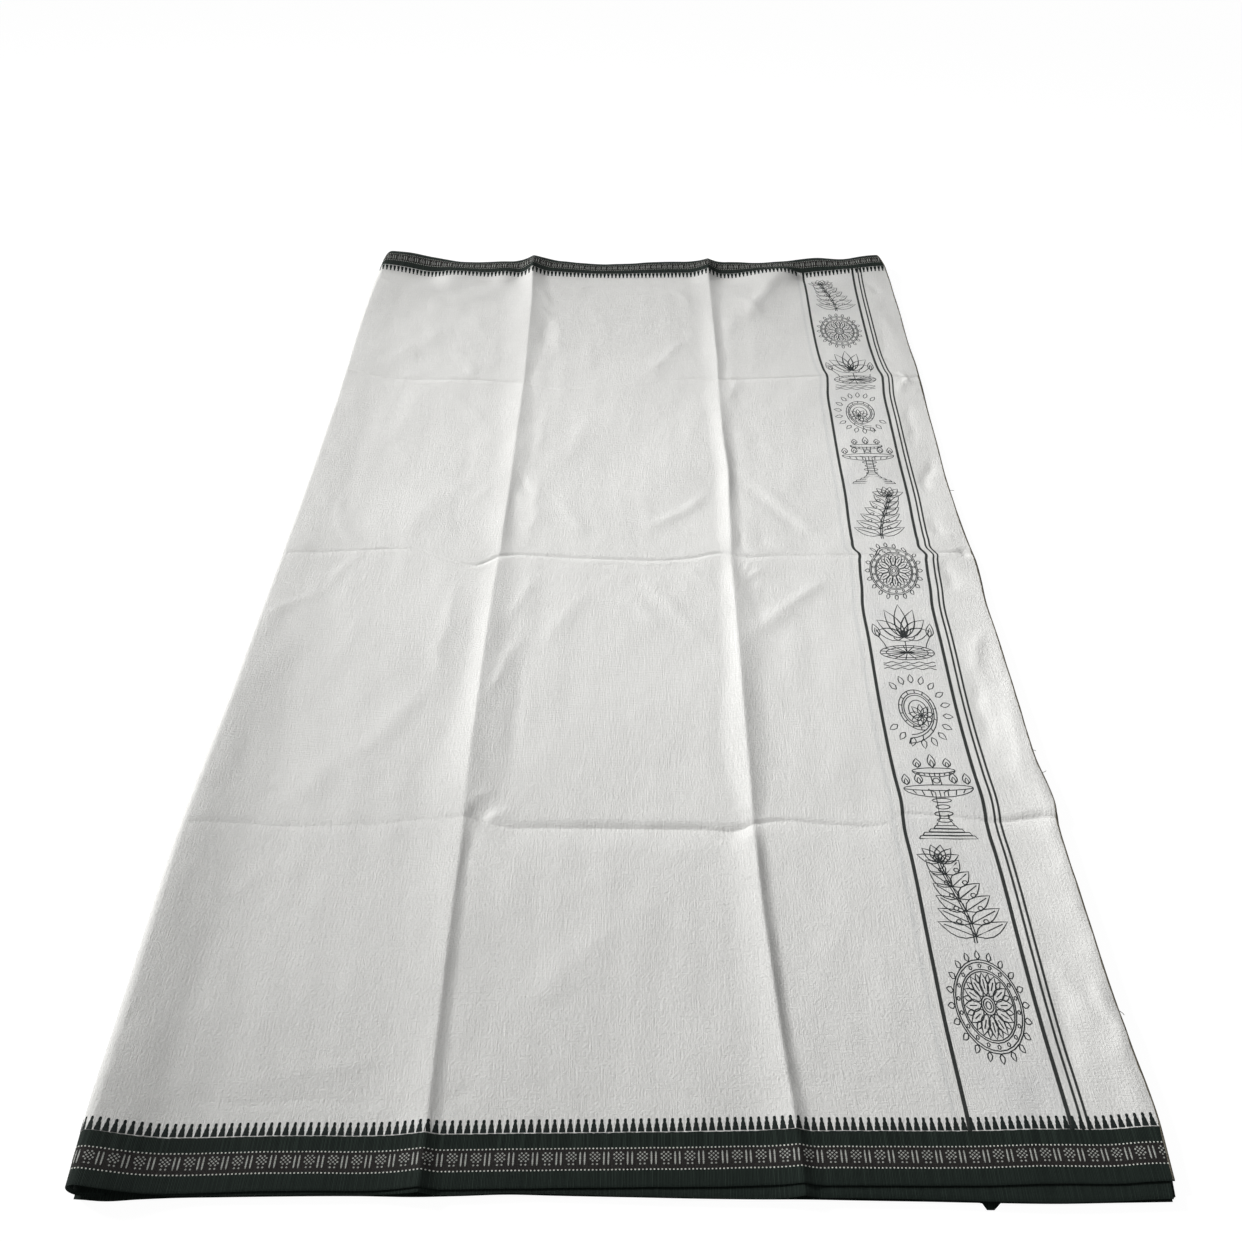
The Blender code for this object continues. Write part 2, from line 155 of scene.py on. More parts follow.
RIDGE_2 = (
    Ridge(0.000, 4.0, 20, 12),
    Ridge(0.050, 3.4, 26, 10),
    Ridge(0.100, 3.4, 26, 8),
    Ridge(0.200, 3.4, 25, 9),
    Ridge(0.262, 3.0, 22, 9),
    Ridge(0.279, 1.4, 12, 8),
    Ridge(0.300, 2.8, 13, 12),
    Ridge(0.340, 3.8, 21, 18),
    Ridge(0.400, 4.0, 21, 20),
    Ridge(0.450, 3.6, 15, 20),
    Ridge(0.490, 3.4, 15, 22),
    Ridge(0.540, 3.2, 15, 24),
    Ridge(0.580, 2.6, 13, 14),
    Ridge(0.603, 1.2, 10, 8),
    Ridge(0.635, 2.4, 14, 12),
    Ridge(0.680, 3.0, 14, 12),
    Ridge(0.730, 3.3, 14, 10),
    Ridge(0.790, 3.2, 14, 12),
    Ridge(0.850, 3.0, 15, 16),
    Ridge(0.900, 2.4, 18, 22),
    Ridge(0.932, 1.8, 14, 10),
    Ridge(0.960, 2.6, 16, 12),
    Ridge(1.030, 2.8, 20, 12),
    Ridge(1.080, 2.3, 22, 12),
    Ridge(1.130, 2.6, 24, 18),
    Ridge(1.170, 4.4, 26, 20),
    Ridge(1.200, 8.6, 28, 18),
    Ridge(1.240, 6.0, 34, 26),
)


@dataclass(frozen=True)
class Roll:
    """How the cloth rises at y (metres) towards the fold: its height and reach (millimetres)."""

    y: float
    height: float
    reach: float


FOLD_ROLL = (
    Roll(0.000, 11.0, 40),
    Roll(0.060, 12.4, 43),
    Roll(0.120, 11.0, 42),
    Roll(0.210, 8.6, 38),
    Roll(0.300, 7.2, 36),
    Roll(0.400, 6.7, 37),
    Roll(0.500, 5.6, 40),
    Roll(0.590, 4.4, 40),
    Roll(0.700, 4.4, 40),
    Roll(0.850, 4.2, 38),
    Roll(1.000, 3.0, 36),
    Roll(1.120, 3.0, 34),
    Roll(1.240, 1.0, 30),
)


@dataclass(frozen=True)
class Crossing:
    """A point of a crease from side to side (metres), with its depth and flanks there (millimetres)."""

    x: float
    y: float
    depth: float
    near: float
    far: float


NEAR_CREASE = (
    Crossing(-0.340, 0.2745, 0.30, 10, 6),
    Crossing(-0.310, 0.2790, 0.50, 10, 6),
    Crossing(-0.260, 0.2775, 0.60, 12, 7),
    Crossing(-0.200, 0.2790, 0.35, 10, 7),
    Crossing(-0.140, 0.2850, 0.40, 10, 6),
    Crossing(-0.118, 0.2850, 0.60, 9, 6),
    Crossing(-0.100, 0.2785, 1.30, 20, 9),
    Crossing(-0.060, 0.2768, 1.90, 22, 8),
    Crossing(0.000, 0.2762, 2.20, 22, 7.5),
    Crossing(0.060, 0.2752, 2.30, 22, 7),
    Crossing(0.088, 0.2742, 2.00, 18, 7),
    Crossing(0.098, 0.2780, 1.00, 10, 6),
    Crossing(0.110, 0.2815, 1.00, 12, 4.5),
    Crossing(0.160, 0.2790, 0.70, 12, 4),
    Crossing(0.196, 0.2775, 0.50, 12, 4),
    Crossing(0.204, 0.2790, 0.05, 6, 3),
    Crossing(0.210, 0.2885, 0.10, 5, 2.5),
    Crossing(0.220, 0.2890, 0.50, 5, 2.5),
    Crossing(0.235, 0.2885, 0.60, 5, 2.5),
    Crossing(0.255, 0.2860, 0.60, 8, 4),
    Crossing(0.290, 0.2820, 1.20, 10, 5),
    Crossing(0.320, 0.2850, 2.00, 12, 7),
    Crossing(0.345, 0.2830, 2.00, 12, 7),
)

MIDDLE_CREASE = (
    Crossing(-0.340, 0.6040, 0.30, 8, 5),
    Crossing(-0.300, 0.6100, 0.40, 8, 5),
    Crossing(-0.262, 0.6145, 0.50, 5, 3),
    Crossing(-0.200, 0.6135, 0.35, 4, 3),
    Crossing(-0.170, 0.5980, 0.30, 5, 4),
    Crossing(-0.145, 0.5930, 0.80, 5, 5),
    Crossing(-0.126, 0.6040, 0.90, 6, 5),
    Crossing(-0.112, 0.6085, 0.80, 5, 4),
    Crossing(-0.090, 0.6075, 0.90, 5, 4),
    Crossing(-0.050, 0.6035, 0.90, 5, 4),
    Crossing(0.000, 0.6008, 0.90, 5, 4),
    Crossing(0.030, 0.6000, 0.90, 5, 4),
    Crossing(0.060, 0.6030, 0.80, 5, 4),
    Crossing(0.092, 0.6095, 0.70, 5, 4),
    Crossing(0.103, 0.6060, 0.80, 7, 5),
    Crossing(0.150, 0.6065, 0.40, 6, 5),
    Crossing(0.205, 0.6075, 0.40, 6, 4),
    Crossing(0.290, 0.6110, 0.50, 5, 4),
    Crossing(0.320, 0.6120, 0.80, 6, 5),
    Crossing(0.345, 0.6090, 0.80, 6, 5),
)

FAR_CREASE = (
    Crossing(-0.340, 0.9520, 0.50, 8, 7),
    Crossing(-0.310, 0.9420, 0.70, 8, 8),
    Crossing(-0.270, 0.9335, 0.80, 8, 8),
    Crossing(-0.220, 0.9310, 0.70, 8, 8),
    Crossing(-0.195, 0.9310, 0.50, 8, 6),
    Crossing(-0.175, 0.9300, 1.00, 8, 6),
    Crossing(-0.150, 0.9265, 1.00, 8, 5),
    Crossing(-0.125, 0.9220, 0.90, 7, 5),
    Crossing(-0.105, 0.9150, 0.70, 7, 5),
    Crossing(-0.088, 0.9090, 0.40, 7, 5),
    Crossing(-0.050, 0.9120, 0.10, 7, 5),
    Crossing(0.000, 0.9200, 0.10, 7, 5),
    Crossing(0.060, 0.9310, 0.30, 5, 4),
    Crossing(0.080, 0.9340, 0.40, 4, 3),
    Crossing(0.098, 0.9300, 0.50, 5, 4),
    Crossing(0.110, 0.9305, 0.60, 8, 4),
    Crossing(0.150, 0.9325, 0.60, 9, 4),
    Crossing(0.205, 0.9365, 0.60, 9, 4),
    Crossing(0.240, 0.9380, 0.30, 7, 4),
    Crossing(0.290, 0.9400, 0.40, 6, 4),
    Crossing(0.320, 0.9340, 0.70, 8, 5),
    Crossing(0.345, 0.9400, 0.60, 8, 5),
)

CROSS_CREASES = (NEAR_CREASE, MIDDLE_CREASE, FAR_CREASE)


@dataclass(frozen=True)
class Wave:
    """A ridge, or below zero a trough, from one point to another, all in millimetres.

    Its line bows out to the left by bow at its middle, and its sides fall away over its reach.
    """

    x_from: float
    y_from: float
    x_to: float
    y_to: float
    bow: float
    height: float
    reach: float


# Read off the cloth panel by panel: left, middle and right, each from the near border to the far one.
WAVES = (
    Wave(-337, 98, -318, 118, 0, -0.5, 2.5),
    Wave(-304, 106, -248, 118, 4, 0.6, 4),
    Wave(-264, 64, -138, 86, 3, 0.7, 5),
    Wave(-312, 57, -130, 56, -1, -0.5, 3),
    Wave(-292, 205, -262, 245, 0, 0.4, 5),
    Wave(-250, 165, -222, 205, 0, 0.35, 5),
    Wave(-235, 330, -165, 442, -4, 1.0, 9),
    Wave(-270, 296, -222, 352, 0, 0.7, 12),
    Wave(-166, 425, -160, 585, 2, 0.9, 5),
    Wave(-332, 508, -279, 562, 2, 0.8, 4),
    Wave(-287, 552, -264, 614, -3, 0.9, 4),
    Wave(-262, 525, -257, 602, 2, 0.5, 3.5),
    Wave(-252, 465, -234, 540, 0, 0.55, 6),
    Wave(-264, 596, -261, 622, 0, 0.6, 2.2),
    Wave(-260, 620, -293, 670, 3, 0.8, 4),
    Wave(-290, 655, -297, 712, 0, 0.8, 4),
    Wave(-300, 672, -316, 712, 0, 0.5, 4),
    Wave(-322, 640, -278, 620, 0, 0.3, 2),
    Wave(-166, 618, -175, 725, 3, -0.6, 4),
    Wave(-174, 715, -170, 835, 0, -0.6, 4.5),
    Wave(-163, 689, -139, 728, 0, 0.6, 3.5),
    Wave(-228, 628, -190, 720, 0, 0.7, 14),
    Wave(-205, 905, -160, 838, 0, 0.7, 7),
    Wave(-270, 780, -235, 905, 0, 0.6, 12),
    Wave(-218, 998, -193, 974, 0, 0.9, 4.5),
    Wave(-197, 980, -176, 932, -2, 1.0, 4.5),
    Wave(-290, 1158, -243, 1138, 2, 1.0, 6),
    Wave(-252, 1140, -172, 1126, -2, 1.1, 7),
    Wave(-265, 1120, -203, 1086, 2, 0.9, 7),
    Wave(-210, 1092, -175, 1015, 5, 1.0, 8),
    Wave(-334, 1176, -306, 1152, 0, 0.8, 5),
    Wave(-218, 1180, -148, 1173, 0, 0.7, 5),
    Wave(-300, 960, -215, 1060, 0, 0.7, 14),
    Wave(-125, 84, 92, 97, 1, 0.16, 1.6),
    Wave(-60, 56, 96, 63, 0, -0.22, 1.4),
    Wave(24, 206, -92, 108, 0, 0.7, 11),
    Wave(-30, 190, -62, 100, 0, 0.4, 9),
    Wave(-112, 281, -81, 296, 1, 0.7, 4.0),
    Wave(-126, 295, -102, 288, 0, -1.0, 5.0),
    Wave(-126, 300, -98, 309, 2, 0.9, 5),
    Wave(-112, 55, -92, 62, 0, -0.5, 6),
    Wave(-122, 405, -99, 495, -2, 1.0, 5),
    Wave(-94, 300, -91, 530, 0, -0.7, 7),
    Wave(-109, 500, -86, 582, 3, 0.9, 6),
    Wave(-80, 462, -26, 562, 7, 0.9, 9),
    Wave(12, 574, 75, 482, 0, 1.25, 5.5),
    Wave(-2, 560, 32, 492, 0, 0.7, 6),
    Wave(-90, 337, 86, 337, 0, -0.22, 1.8),
    Wave(-100, 591.5, 93, 590.5, 0, -0.32, 1.7),
    Wave(50, 588, 88, 558, 0, 0.5, 4),
    Wave(10, 637, 90, 718, -2, 1.35, 7),
    Wave(-97, 616, -94, 752, 0, 0.95, 7),
    Wave(-122, 752, -98, 699, 0, -1.2, 4.5),
    Wave(-101, 745, -93, 892, 0, 0.6, 6),
    Wave(-73, 708, -44, 636, 0, 0.8, 8),
    Wave(-68, 750, -48, 868, 0, 0.5, 8),
    Wave(-3, 812, -2, 890, 0, 0.4, 5),
    Wave(24, 872, 37, 843, 0, 0.45, 4),
    Wave(2, 715, 20, 640, 6, 0.45, 5),
    Wave(60, 800, 84, 880, 0, 0.45, 8),
    Wave(-120, 1102, -93, 1068, 2, 0.9, 5),
    Wave(-95, 1078, -88, 985, 3, 0.8, 5),
    Wave(-106, 1092, -106, 995, 0, -0.8, 6),
    Wave(-122, 1156, -96, 1094, 0, 1.1, 6),
    Wave(-50, 1030, -46, 935, 0, 0.6, 5),
    Wave(10, 926, 80, 1042, 3, 0.95, 8),
    Wave(48, 1160, 74, 1112, 0, 0.6, 6),
    Wave(-62, 1120, -20, 1020, 0, 0.5, 9),
    Wave(-92, 1158, -48, 1160, 0, 0.5, 3),
    Wave(104, 66, 212, 73, 0, -0.25, 2),
    Wave(186, 240, 120, 120, 0, 0.6, 14),
    Wave(150, 300, 190, 372, 0, 0.5, 12),
    Wave(98, 484, 196, 588, -3, 1.5, 6),
    Wave(112, 470, 140, 440, 0, -0.8, 9),
    Wave(104, 562, 127, 590, 0, 0.7, 2.2),
    Wave(122, 530, 124, 612, 0, 0.35, 1.8),
    Wave(104, 735, 188, 616, 3, -1.3, 4.5),
    Wave(118, 738, 196, 628, 2, 0.7, 6),
    Wave(127, 656, 146, 611, -6, -0.42, 1.4),
    Wave(104, 660, 118, 596, 0, -0.5, 3),
    Wave(124, 604, 107, 570, -3, 0.4, 1.6),
    Wave(150, 690, 196, 800, 0, 0.5, 12),
    Wave(108, 884, 124, 928, 0, 0.8, 6),
    Wave(210, 1220, 132, 1050, -4, 3.9, 14),
    Wave(150, 1150, 112, 1020, 0, 0.9, 12),
    Wave(124, 1128, 152, 1106, 7, 0.9, 2.6),
    Wave(147, 1116, 168, 1064, 2, 1.0, 2.4),
    Wave(162, 1078, 194, 1030, -2, 0.8, 2.4),
    Wave(214, 1206, 224, 1168, 0, -1.2, 6),
    Wave(330, -60, 328, 620, 0, 3.4, 16),
    Wave(318, 96, 300, 168, 0, 1.2, 7),
    Wave(293, 52, 297, 170, 0, -1.2, 5),
    Wave(330, 80, 322, 150, 0, 1.1, 6),
    Wave(298, 350, 300, 452, 0, -1.8, 7),
    Wave(315, 300, 322, 420, 0, 1.2, 8),
    Wave(300, 440, 320, 506, 0, 1.5, 5),
    Wave(302, 548, 304, 606, 0, -1.6, 6),
    Wave(320, 620, 326, 600, 0, -1.3, 4),
    Wave(304, 632, 306, 672, 0, -1.2, 6),
    Wave(320, 774, 302, 706, 0, -1.9, 5),
    Wave(306, 790, 312, 882, 0, -1.3, 7),
    Wave(303, 892, 322, 938, 0, 1.2, 3.5),
    Wave(309, 952, 326, 918, 0, 1.2, 3),
    Wave(300, 960, 306, 1040, 0, -1.2, 7),
    Wave(300, 1182, 318, 1132, 0, -1.5, 6),
    Wave(312, 1090, 322, 1010, 0, 0.8, 7),
)


@dataclass(frozen=True)
class NearEdge:
    """The near selvedges at x: where the top layer, the next and the lowest end, and the top one's lift.

    All are metres but the lift, which is millimetres.
    """

    x: float
    top_y: float
    under_y: float
    low_y: float
    lift: float


NEAR_EDGE = (
    NearEdge(-0.340, -0.0004, 0.0004, -0.0022, 1.5),
    NearEdge(-0.325, -0.0017, -0.0006, -0.0030, 1.2),
    NearEdge(-0.312, -0.0024, -0.0014, -0.0038, 1.0),
    NearEdge(-0.290, -0.0024, -0.0022, -0.0024, 0.4),
    NearEdge(-0.270, -0.0016, -0.0024, -0.0014, 0.0),
    NearEdge(-0.240, -0.0004, -0.0020, -0.0009, 0.0),
    NearEdge(-0.200, 0.0003, -0.0016, -0.0008, 0.0),
    NearEdge(-0.160, 0.0002, -0.0016, -0.0010, 0.0),
    NearEdge(-0.125, 0.0007, -0.0020, -0.0014, 0.0),
    NearEdge(-0.100, 0.0011, -0.0018, -0.0006, 0.0),
    NearEdge(-0.070, 0.0016, -0.0006, 0.0006, 0.0),
    NearEdge(-0.040, 0.0021, -0.0012, 0.0000, 0.0),
    NearEdge(0.000, 0.0024, -0.0024, -0.0012, 0.0),
    NearEdge(0.050, 0.0028, -0.0036, -0.0026, 0.0),
    NearEdge(0.080, 0.0036, -0.0040, -0.0028, 0.0),
    NearEdge(0.110, 0.0033, -0.0036, -0.0025, 0.1),
    NearEdge(0.140, 0.0032, -0.0039, -0.0028, 0.2),
    NearEdge(0.180, 0.0031, -0.0046, -0.0036, 0.4),
    NearEdge(0.220, 0.0032, -0.0059, -0.0049, 0.6),
    NearEdge(0.260, 0.0042, -0.0066, -0.0056, 0.7),
    NearEdge(0.300, 0.0041, -0.0056, -0.0046, 0.9),
    NearEdge(0.325, 0.0054, -0.0047, -0.0039, 1.0),
    NearEdge(0.340, 0.0055, -0.0043, -0.0035, 1.0),
)


@dataclass(frozen=True)
class FarEdge:
    """The far selvedge at x: where the top layer ends (metres) and how far it lifts there (millimetres).

    The swell is the height of the low hills along the inner side of the border.
    """

    x: float
    y: float
    lift: float
    swell: float


FAR_EDGE = (
    FarEdge(-0.340, 1.2370, 10.8, -2.0),
    FarEdge(-0.300, 1.2350, 9.4, -4.6),
    FarEdge(-0.265, 1.2320, 3.7, -5.0),
    FarEdge(-0.235, 1.2295, -1.0, 2.6),
    FarEdge(-0.212, 1.2290, -2.0, 2.0),
    FarEdge(-0.188, 1.2288, -0.9, 0.0),
    FarEdge(-0.165, 1.2286, -0.3, 1.6),
    FarEdge(-0.149, 1.2285, -0.4, -1.0),
    FarEdge(-0.120, 1.2285, 1.6, 0.0),
    FarEdge(-0.090, 1.2285, -0.6, 0.4),
    FarEdge(-0.060, 1.2285, -3.6, 1.2),
    FarEdge(-0.012, 1.2285, -3.9, 0.8),
    FarEdge(0.030, 1.2285, -1.2, -0.8),
    FarEdge(0.075, 1.2285, -0.6, -0.6),
    FarEdge(0.100, 1.2285, -2.4, 0.6),
    FarEdge(0.125, 1.2285, -0.4, -2.0),
    FarEdge(0.170, 1.2285, -2.8, 6.0),
    FarEdge(0.190, 1.2288, -1.7, 6.0),
    FarEdge(0.206, 1.2293, -0.6, 4.5),
    FarEdge(0.222, 1.2300, 2.2, -2.8),
    FarEdge(0.245, 1.2310, 4.2, -3.0),
    FarEdge(0.280, 1.2310, 1.8, 2.0),
    FarEdge(0.310, 1.2320, 5.6, 1.4),
    FarEdge(0.340, 1.2330, 7.0, 2.0),
)


@dataclass(frozen=True)
class Drift:
    """How far the band by the cut end has shifted sideways at y (millimetres)."""

    y: float
    x: float


BAND_DRIFT = (
    Drift(0.000, 3.2),
    Drift(0.050, 3.4),
    Drift(0.075, 2.6),
    Drift(0.110, 1.4),
    Drift(0.160, 1.0),
    Drift(0.250, 0.7),
    Drift(0.275, -0.2),
    Drift(0.283, 0.2),
    Drift(0.300, 1.3),
    Drift(0.330, 0.2),
    Drift(0.410, -0.4),
    Drift(0.490, 1.2),
    Drift(0.535, 1.8),
    Drift(0.560, 4.4),
    Drift(0.580, 5.6),
    Drift(0.600, 7.4),
    Drift(0.6105, 8.4),
    Drift(0.6165, 4.8),
    Drift(0.632, 4.0),
    Drift(0.660, 4.6),
    Drift(0.700, 6.4),
    Drift(0.770, 7.0),
    Drift(0.850, 8.8),
    Drift(0.900, 10.0),
    Drift(0.925, 12.6),
    Drift(0.9405, 13.4),
    Drift(0.950, 11.4),
    Drift(0.965, 9.8),
    Drift(0.985, 8.8),
    Drift(1.050, 8.3),
    Drift(1.100, 8.7),
    Drift(1.150, 9.5),
    Drift(1.240, 10.8),
)


@dataclass(frozen=True)
class Ripples:
    """A family of low random undulations in patches.

    It gives their number, shortest and longest length (mm), largest turn (degrees), slope and seed.
    """

    count: int
    shortest: float
    longest: float
    turn_to: float
    slope: float
    seed: int


RIPPLES = (
    Ripples(16, 70, 200, 90, 0.013, 7),
    Ripples(26, 18, 36, 9, 0.013, 8),
    Ripples(44, 20, 46, 90, 0.015, 9),
)


Values = float | np.ndarray


def smooth_between(value: Values, places: Sequence[float], heights: Sequence[float]) -> Values:
    """The value of a smooth curve through a few points.

    Args:
        value: where to read the curve, a number or an array.
        places: the points' places, in rising order.
        heights: the points' heights.

    Returns:
        The curve's height at each value.
    """
    places, heights = np.asarray(places, float), np.asarray(heights, float)
    slopes = np.gradient(heights, places)
    value = np.clip(value, places[0], places[-1])
    left = np.clip(np.searchsorted(places, value, side="right") - 1, 0, len(places) - 2)
    span = places[left + 1] - places[left]
    t = (value - places[left]) / span
    rise = heights[left + 1] - heights[left]
    start, end = slopes[left] * span, slopes[left + 1] * span
    return heights[left] + t * (start + t * (3 * rise - 2 * start - end + t * (start + end - 2 * rise)))


def from_table(table: Sequence, key: str, name: str, value: Values) -> Values:
    """A named column of a table, read at a value of its key column."""
    places = [getattr(row, key) for row in table]
    return smooth_between(value, places, [getattr(row, name) for row in table])


@dataclass(frozen=True)
class ClothForm:
    """The form that every layer of the folded cloth follows.

    Points on it are named by u, the way along the cloth measured as the table's x, which runs on round the
    fold at the left, and by y. A lift moves them out from the top layer, below zero into the stack.
    """

    height: float = 6.55 * MM
    least: float = 3.2 * MM
    crest_round: float = 0.8 * MM
    flank_power: float = 1.7
    edge_lift_reach: float = 75 * MM
    hem_in: tuple = (0, 5, 12, 24, 34, 44, 54, 70)
    hem_rise: tuple = (1.6, 2.9, 3.5, 3.1, 2.3, 0.1, -0.4, 0.0)
    fold_inset: float = 4 * MM
    floor_gap: float = 0.1 * MM
    swell_in: float = 42 * MM
    swell_reach: float = 26 * MM
    wave_end: float = 0.35
    crest: float = 0.35
    tail: float = 0.8
    warp: float = 2.4 * MM
    slope_gain: float = 1.6
    groove: float = 0.34 * MM
    groove_reach: float = 1.2 * MM
    packet: float = 6.0
    corner_pull: float = 2.8 * MM
    corner_reach: float = 16 * MM
    slope_step: float = 0.4 * MM

    def section(self, y: Values, name: str) -> Values:
        """A column of the sections' table at y."""
        return from_table(SECTIONS, "y", name, y)

    def near(self, x: Values, name: str) -> Values:
        """A column of the near edge's table at x."""
        return from_table(NEAR_EDGE, "x", name, x)

    def far(self, x: Values, name: str) -> Values:
        """A column of the far edge's table at x."""
        return from_table(FAR_EDGE, "x", name, x)

    def drift(self, y: Values) -> Values:
        """How far the band by the cut end has shifted at y, in metres."""
        return from_table(BAND_DRIFT, "y", "x", y) * MM

    def corner_in(self, y: Values) -> Values:
        """How far the lower layers' cut ends draw in towards the near corner."""
        return self.corner_pull * np.exp(-np.maximum(y + self.corner_reach / 3, 0.0) / self.corner_reach)

    def cross_y(self, crease: Sequence[Crossing], x: Values) -> Values:
        """Where a cross crease lies at x."""
        return from_table(crease, "x", "y", x)

    def flank(self, aside: Values, before: Values, after: Values) -> Values:
        """A crease's profile, 1 at its crest and 0 past its flanks.

        Args:
            aside: the distance from the crest, below zero on the first side.
            before: the width of the flank on the first side.
            after: the width of the flank on the other side.

        Returns:
            The height as a share of the crest's.
        """
        away = np.sqrt(aside**2 + self.crest_round**2) - self.crest_round
        return (1 - np.clip(away / np.where(aside < 0, before, after), 0, 1)) ** self.flank_power

    def wave(self, wave: Wave, x: Values, y: Values) -> Values:
        """The height of one wave at each point."""
        run_x, run_y = (wave.x_to - wave.x_from) * MM, (wave.y_to - wave.y_from) * MM
        length = math.hypot(run_x, run_y)
        from_x, from_y = x - wave.x_from * MM, y - wave.y_from * MM
        share = (from_x * run_x + from_y * run_y) / length**2
        aside = (from_y * run_x - from_x * run_y) / length - wave.bow * MM * 4 * share * (1 - share)
        height = np.zeros(np.shape(x))
        near = (share > 0) & (share < 1) & (np.abs(aside) < 5 * wave.reach * MM)
        inside = np.clip(np.minimum(share[near], 1 - share[near]) / self.wave_end, 0, 1)
        rise = inside**2 * (3 - 2 * inside)
        away = aside[near] / (wave.reach * MM)
        fall = (np.sqrt(away**2 + self.crest**2) - self.crest) / self.tail
        height[near] = wave.height * MM * rise * np.exp(-fall)
        return height

    def waves(self, x: Values, y: Values) -> Values:
        """All the waves together, on lines that sway a little.

        The sways have turns of about 35 to 110 mm that share no common length, so that they don't repeat.
        """
        sway_x = x + self.warp * (np.sin(y * 97 + x * 41) + np.sin(y * 173 - x * 67 + 2.0)) / 2
        sway_y = y + self.warp * (np.sin(x * 113 + y * 29 + 1.0) + np.sin(x * 61 - y * 149)) / 2
        return sum(self.wave(wave, sway_x, sway_y) for wave in WAVES)

    def ripples(self, x: Values, y: Values) -> Values:
        """Low random undulations of soft cotton, the same each time."""
        total = 0.0
        for family in RIPPLES:
            chance = np.random.default_rng(family.seed)
            swing = family.slope * self.slope_gain * math.sqrt(2 / family.count) / (2 * math.pi)
            for _ in range(family.count):
                length = chance.uniform(family.shortest, family.longest) * MM
                turn = math.radians(chance.uniform(-family.turn_to, family.turn_to))
                start, patch, patch_turn = chance.uniform(0, 2 * math.pi, 3)
                along = (x * math.cos(turn) + y * math.sin(turn)) * 2 * math.pi / length + start
                wide = (x * math.cos(patch_turn) + y * math.sin(patch_turn)) * 2 * math.pi / length
                shown = 0.5 + 0.5 * np.sin(wide / self.packet + patch)
                total = total + swing * length * np.sin(along) * shown
        return total

    def top(self, x: Values, y: Values) -> Values:
        """The height of the top layer's upper face above the surface it lies on."""
        x, y = np.broadcast_arrays(np.asarray(x, float), np.asarray(y, float))
        height = self.height + self.ripples(x, y)
        for crease, ridge in (("crease_1", RIDGE_1), ("crease_2", RIDGE_2)):
            aside = x - self.section(y, crease)
            left, right = from_table(ridge, "y", "left", y) * MM, from_table(ridge, "y", "right", y) * MM
            height = height + from_table(ridge, "y", "height", y) * MM * self.flank(aside, left, right)
        for crease in CROSS_CREASES:
            aside = y - self.cross_y(crease, x)
            near, far = from_table(crease, "x", "near", x) * MM, from_table(crease, "x", "far", x) * MM
            depth = from_table(crease, "x", "depth", x) * MM
            groove = self.groove * np.clip(depth / MM, 0, 1) * np.exp(-((aside / self.groove_reach) ** 2))
            height = height - depth * self.flank(aside, near, far) - groove
        height = height + self.waves(x, y)
        from_near = np.maximum(y - self.near(x, "top_y"), 0.0)
        from_far = np.maximum(self.far(x, "y") - y, 0.0)
        from_fold = np.maximum(x - self.section(y, "fold"), 0.0)
        height = height + self.near(x, "lift") * MM * np.exp(-((from_near / self.edge_lift_reach) ** 2))
        height = height + self.far(x, "lift") * MM * np.exp(-((from_far / self.edge_lift_reach) ** 2))
        height = height + smooth_between(from_far / MM, self.hem_in, self.hem_rise) * MM
        swell = np.exp(-(((from_far - self.swell_in) / self.swell_reach) ** 2))
        height = height + self.far(x, "swell") * MM * swell
        roll = from_table(FOLD_ROLL, "y", "height", y) * MM
        reach = from_table(FOLD_ROLL, "y", "reach", y) * MM
        height = height + roll * np.exp(-((from_fold / reach) ** 2))
        return np.maximum(height, self.least)

    def fold_radius(self, y: Values) -> Values:
        """The outer radius of the rounding at the fold, half the stack's height there."""
        fold = self.section(y, "fold")
        radius = self.top(fold + self.fold_inset, y) / 2
        return (self.top(fold + radius, y) - self.floor_gap) / 2

    def top_start(self, y: Values) -> Values:
        """The x where the top layer leaves the fold's rounding."""
        return self.section(y, "fold") + self.fold_radius(y)

    def place(self, u: Values, y: Values, lift: Values) -> np.ndarray:
        """Points of the top layer or of what lies on it.

        Args:
            u: the way along the cloth, as an array in metres.
            y: the distance from the near edge, as an array.
            lift: how far out from the top layer's upper face.

        Returns:
            An array of points in the row frame, one row for each.
        """
        u, y = np.asarray(u, float), np.asarray(y, float)
        lift = np.broadcast_to(np.asarray(lift, float), u.shape)
        step = self.slope_step
        slope_x = (self.top(u + step, y) - self.top(u - step, y)) / (2 * step)
        slope_y = (self.top(u, y + step) - self.top(u, y - step)) / (2 * step)
        out = lift / np.sqrt(1 + slope_x**2 + slope_y**2)
        start, radius = self.top_start(y), self.fold_radius(y)
        round_way = start - u
        turned = math.pi / 2 - round_way / radius
        side = np.clip(turned, -math.pi / 2, math.pi / 2)
        under = np.maximum(round_way - math.pi * radius, 0.0)
        middle = radius + self.floor_gap
        fold_x = start - (radius + lift) * np.cos(side) + under
        on_fold = np.stack((fold_x, y, middle + (radius + lift) * np.sin(side)), -1)
        on_top = np.stack((u - slope_x * out, y - slope_y * out, self.top(u, y) + out), -1)
        points = np.where((round_way > 0)[..., None], on_fold, on_top)
        return points - np.array((MIDDLE_X, MIDDLE_Y, 0.0))


FORM = ClothForm()


def closer_at_ends(steps: int, closer: float = 0.68) -> np.ndarray:
    """Shares from 0 to 1 that lie closer together at both ends."""
    even = np.linspace(0.0, 1.0, steps + 1)
    return even - closer * np.sin(2 * math.pi * even) / (2 * math.pi)


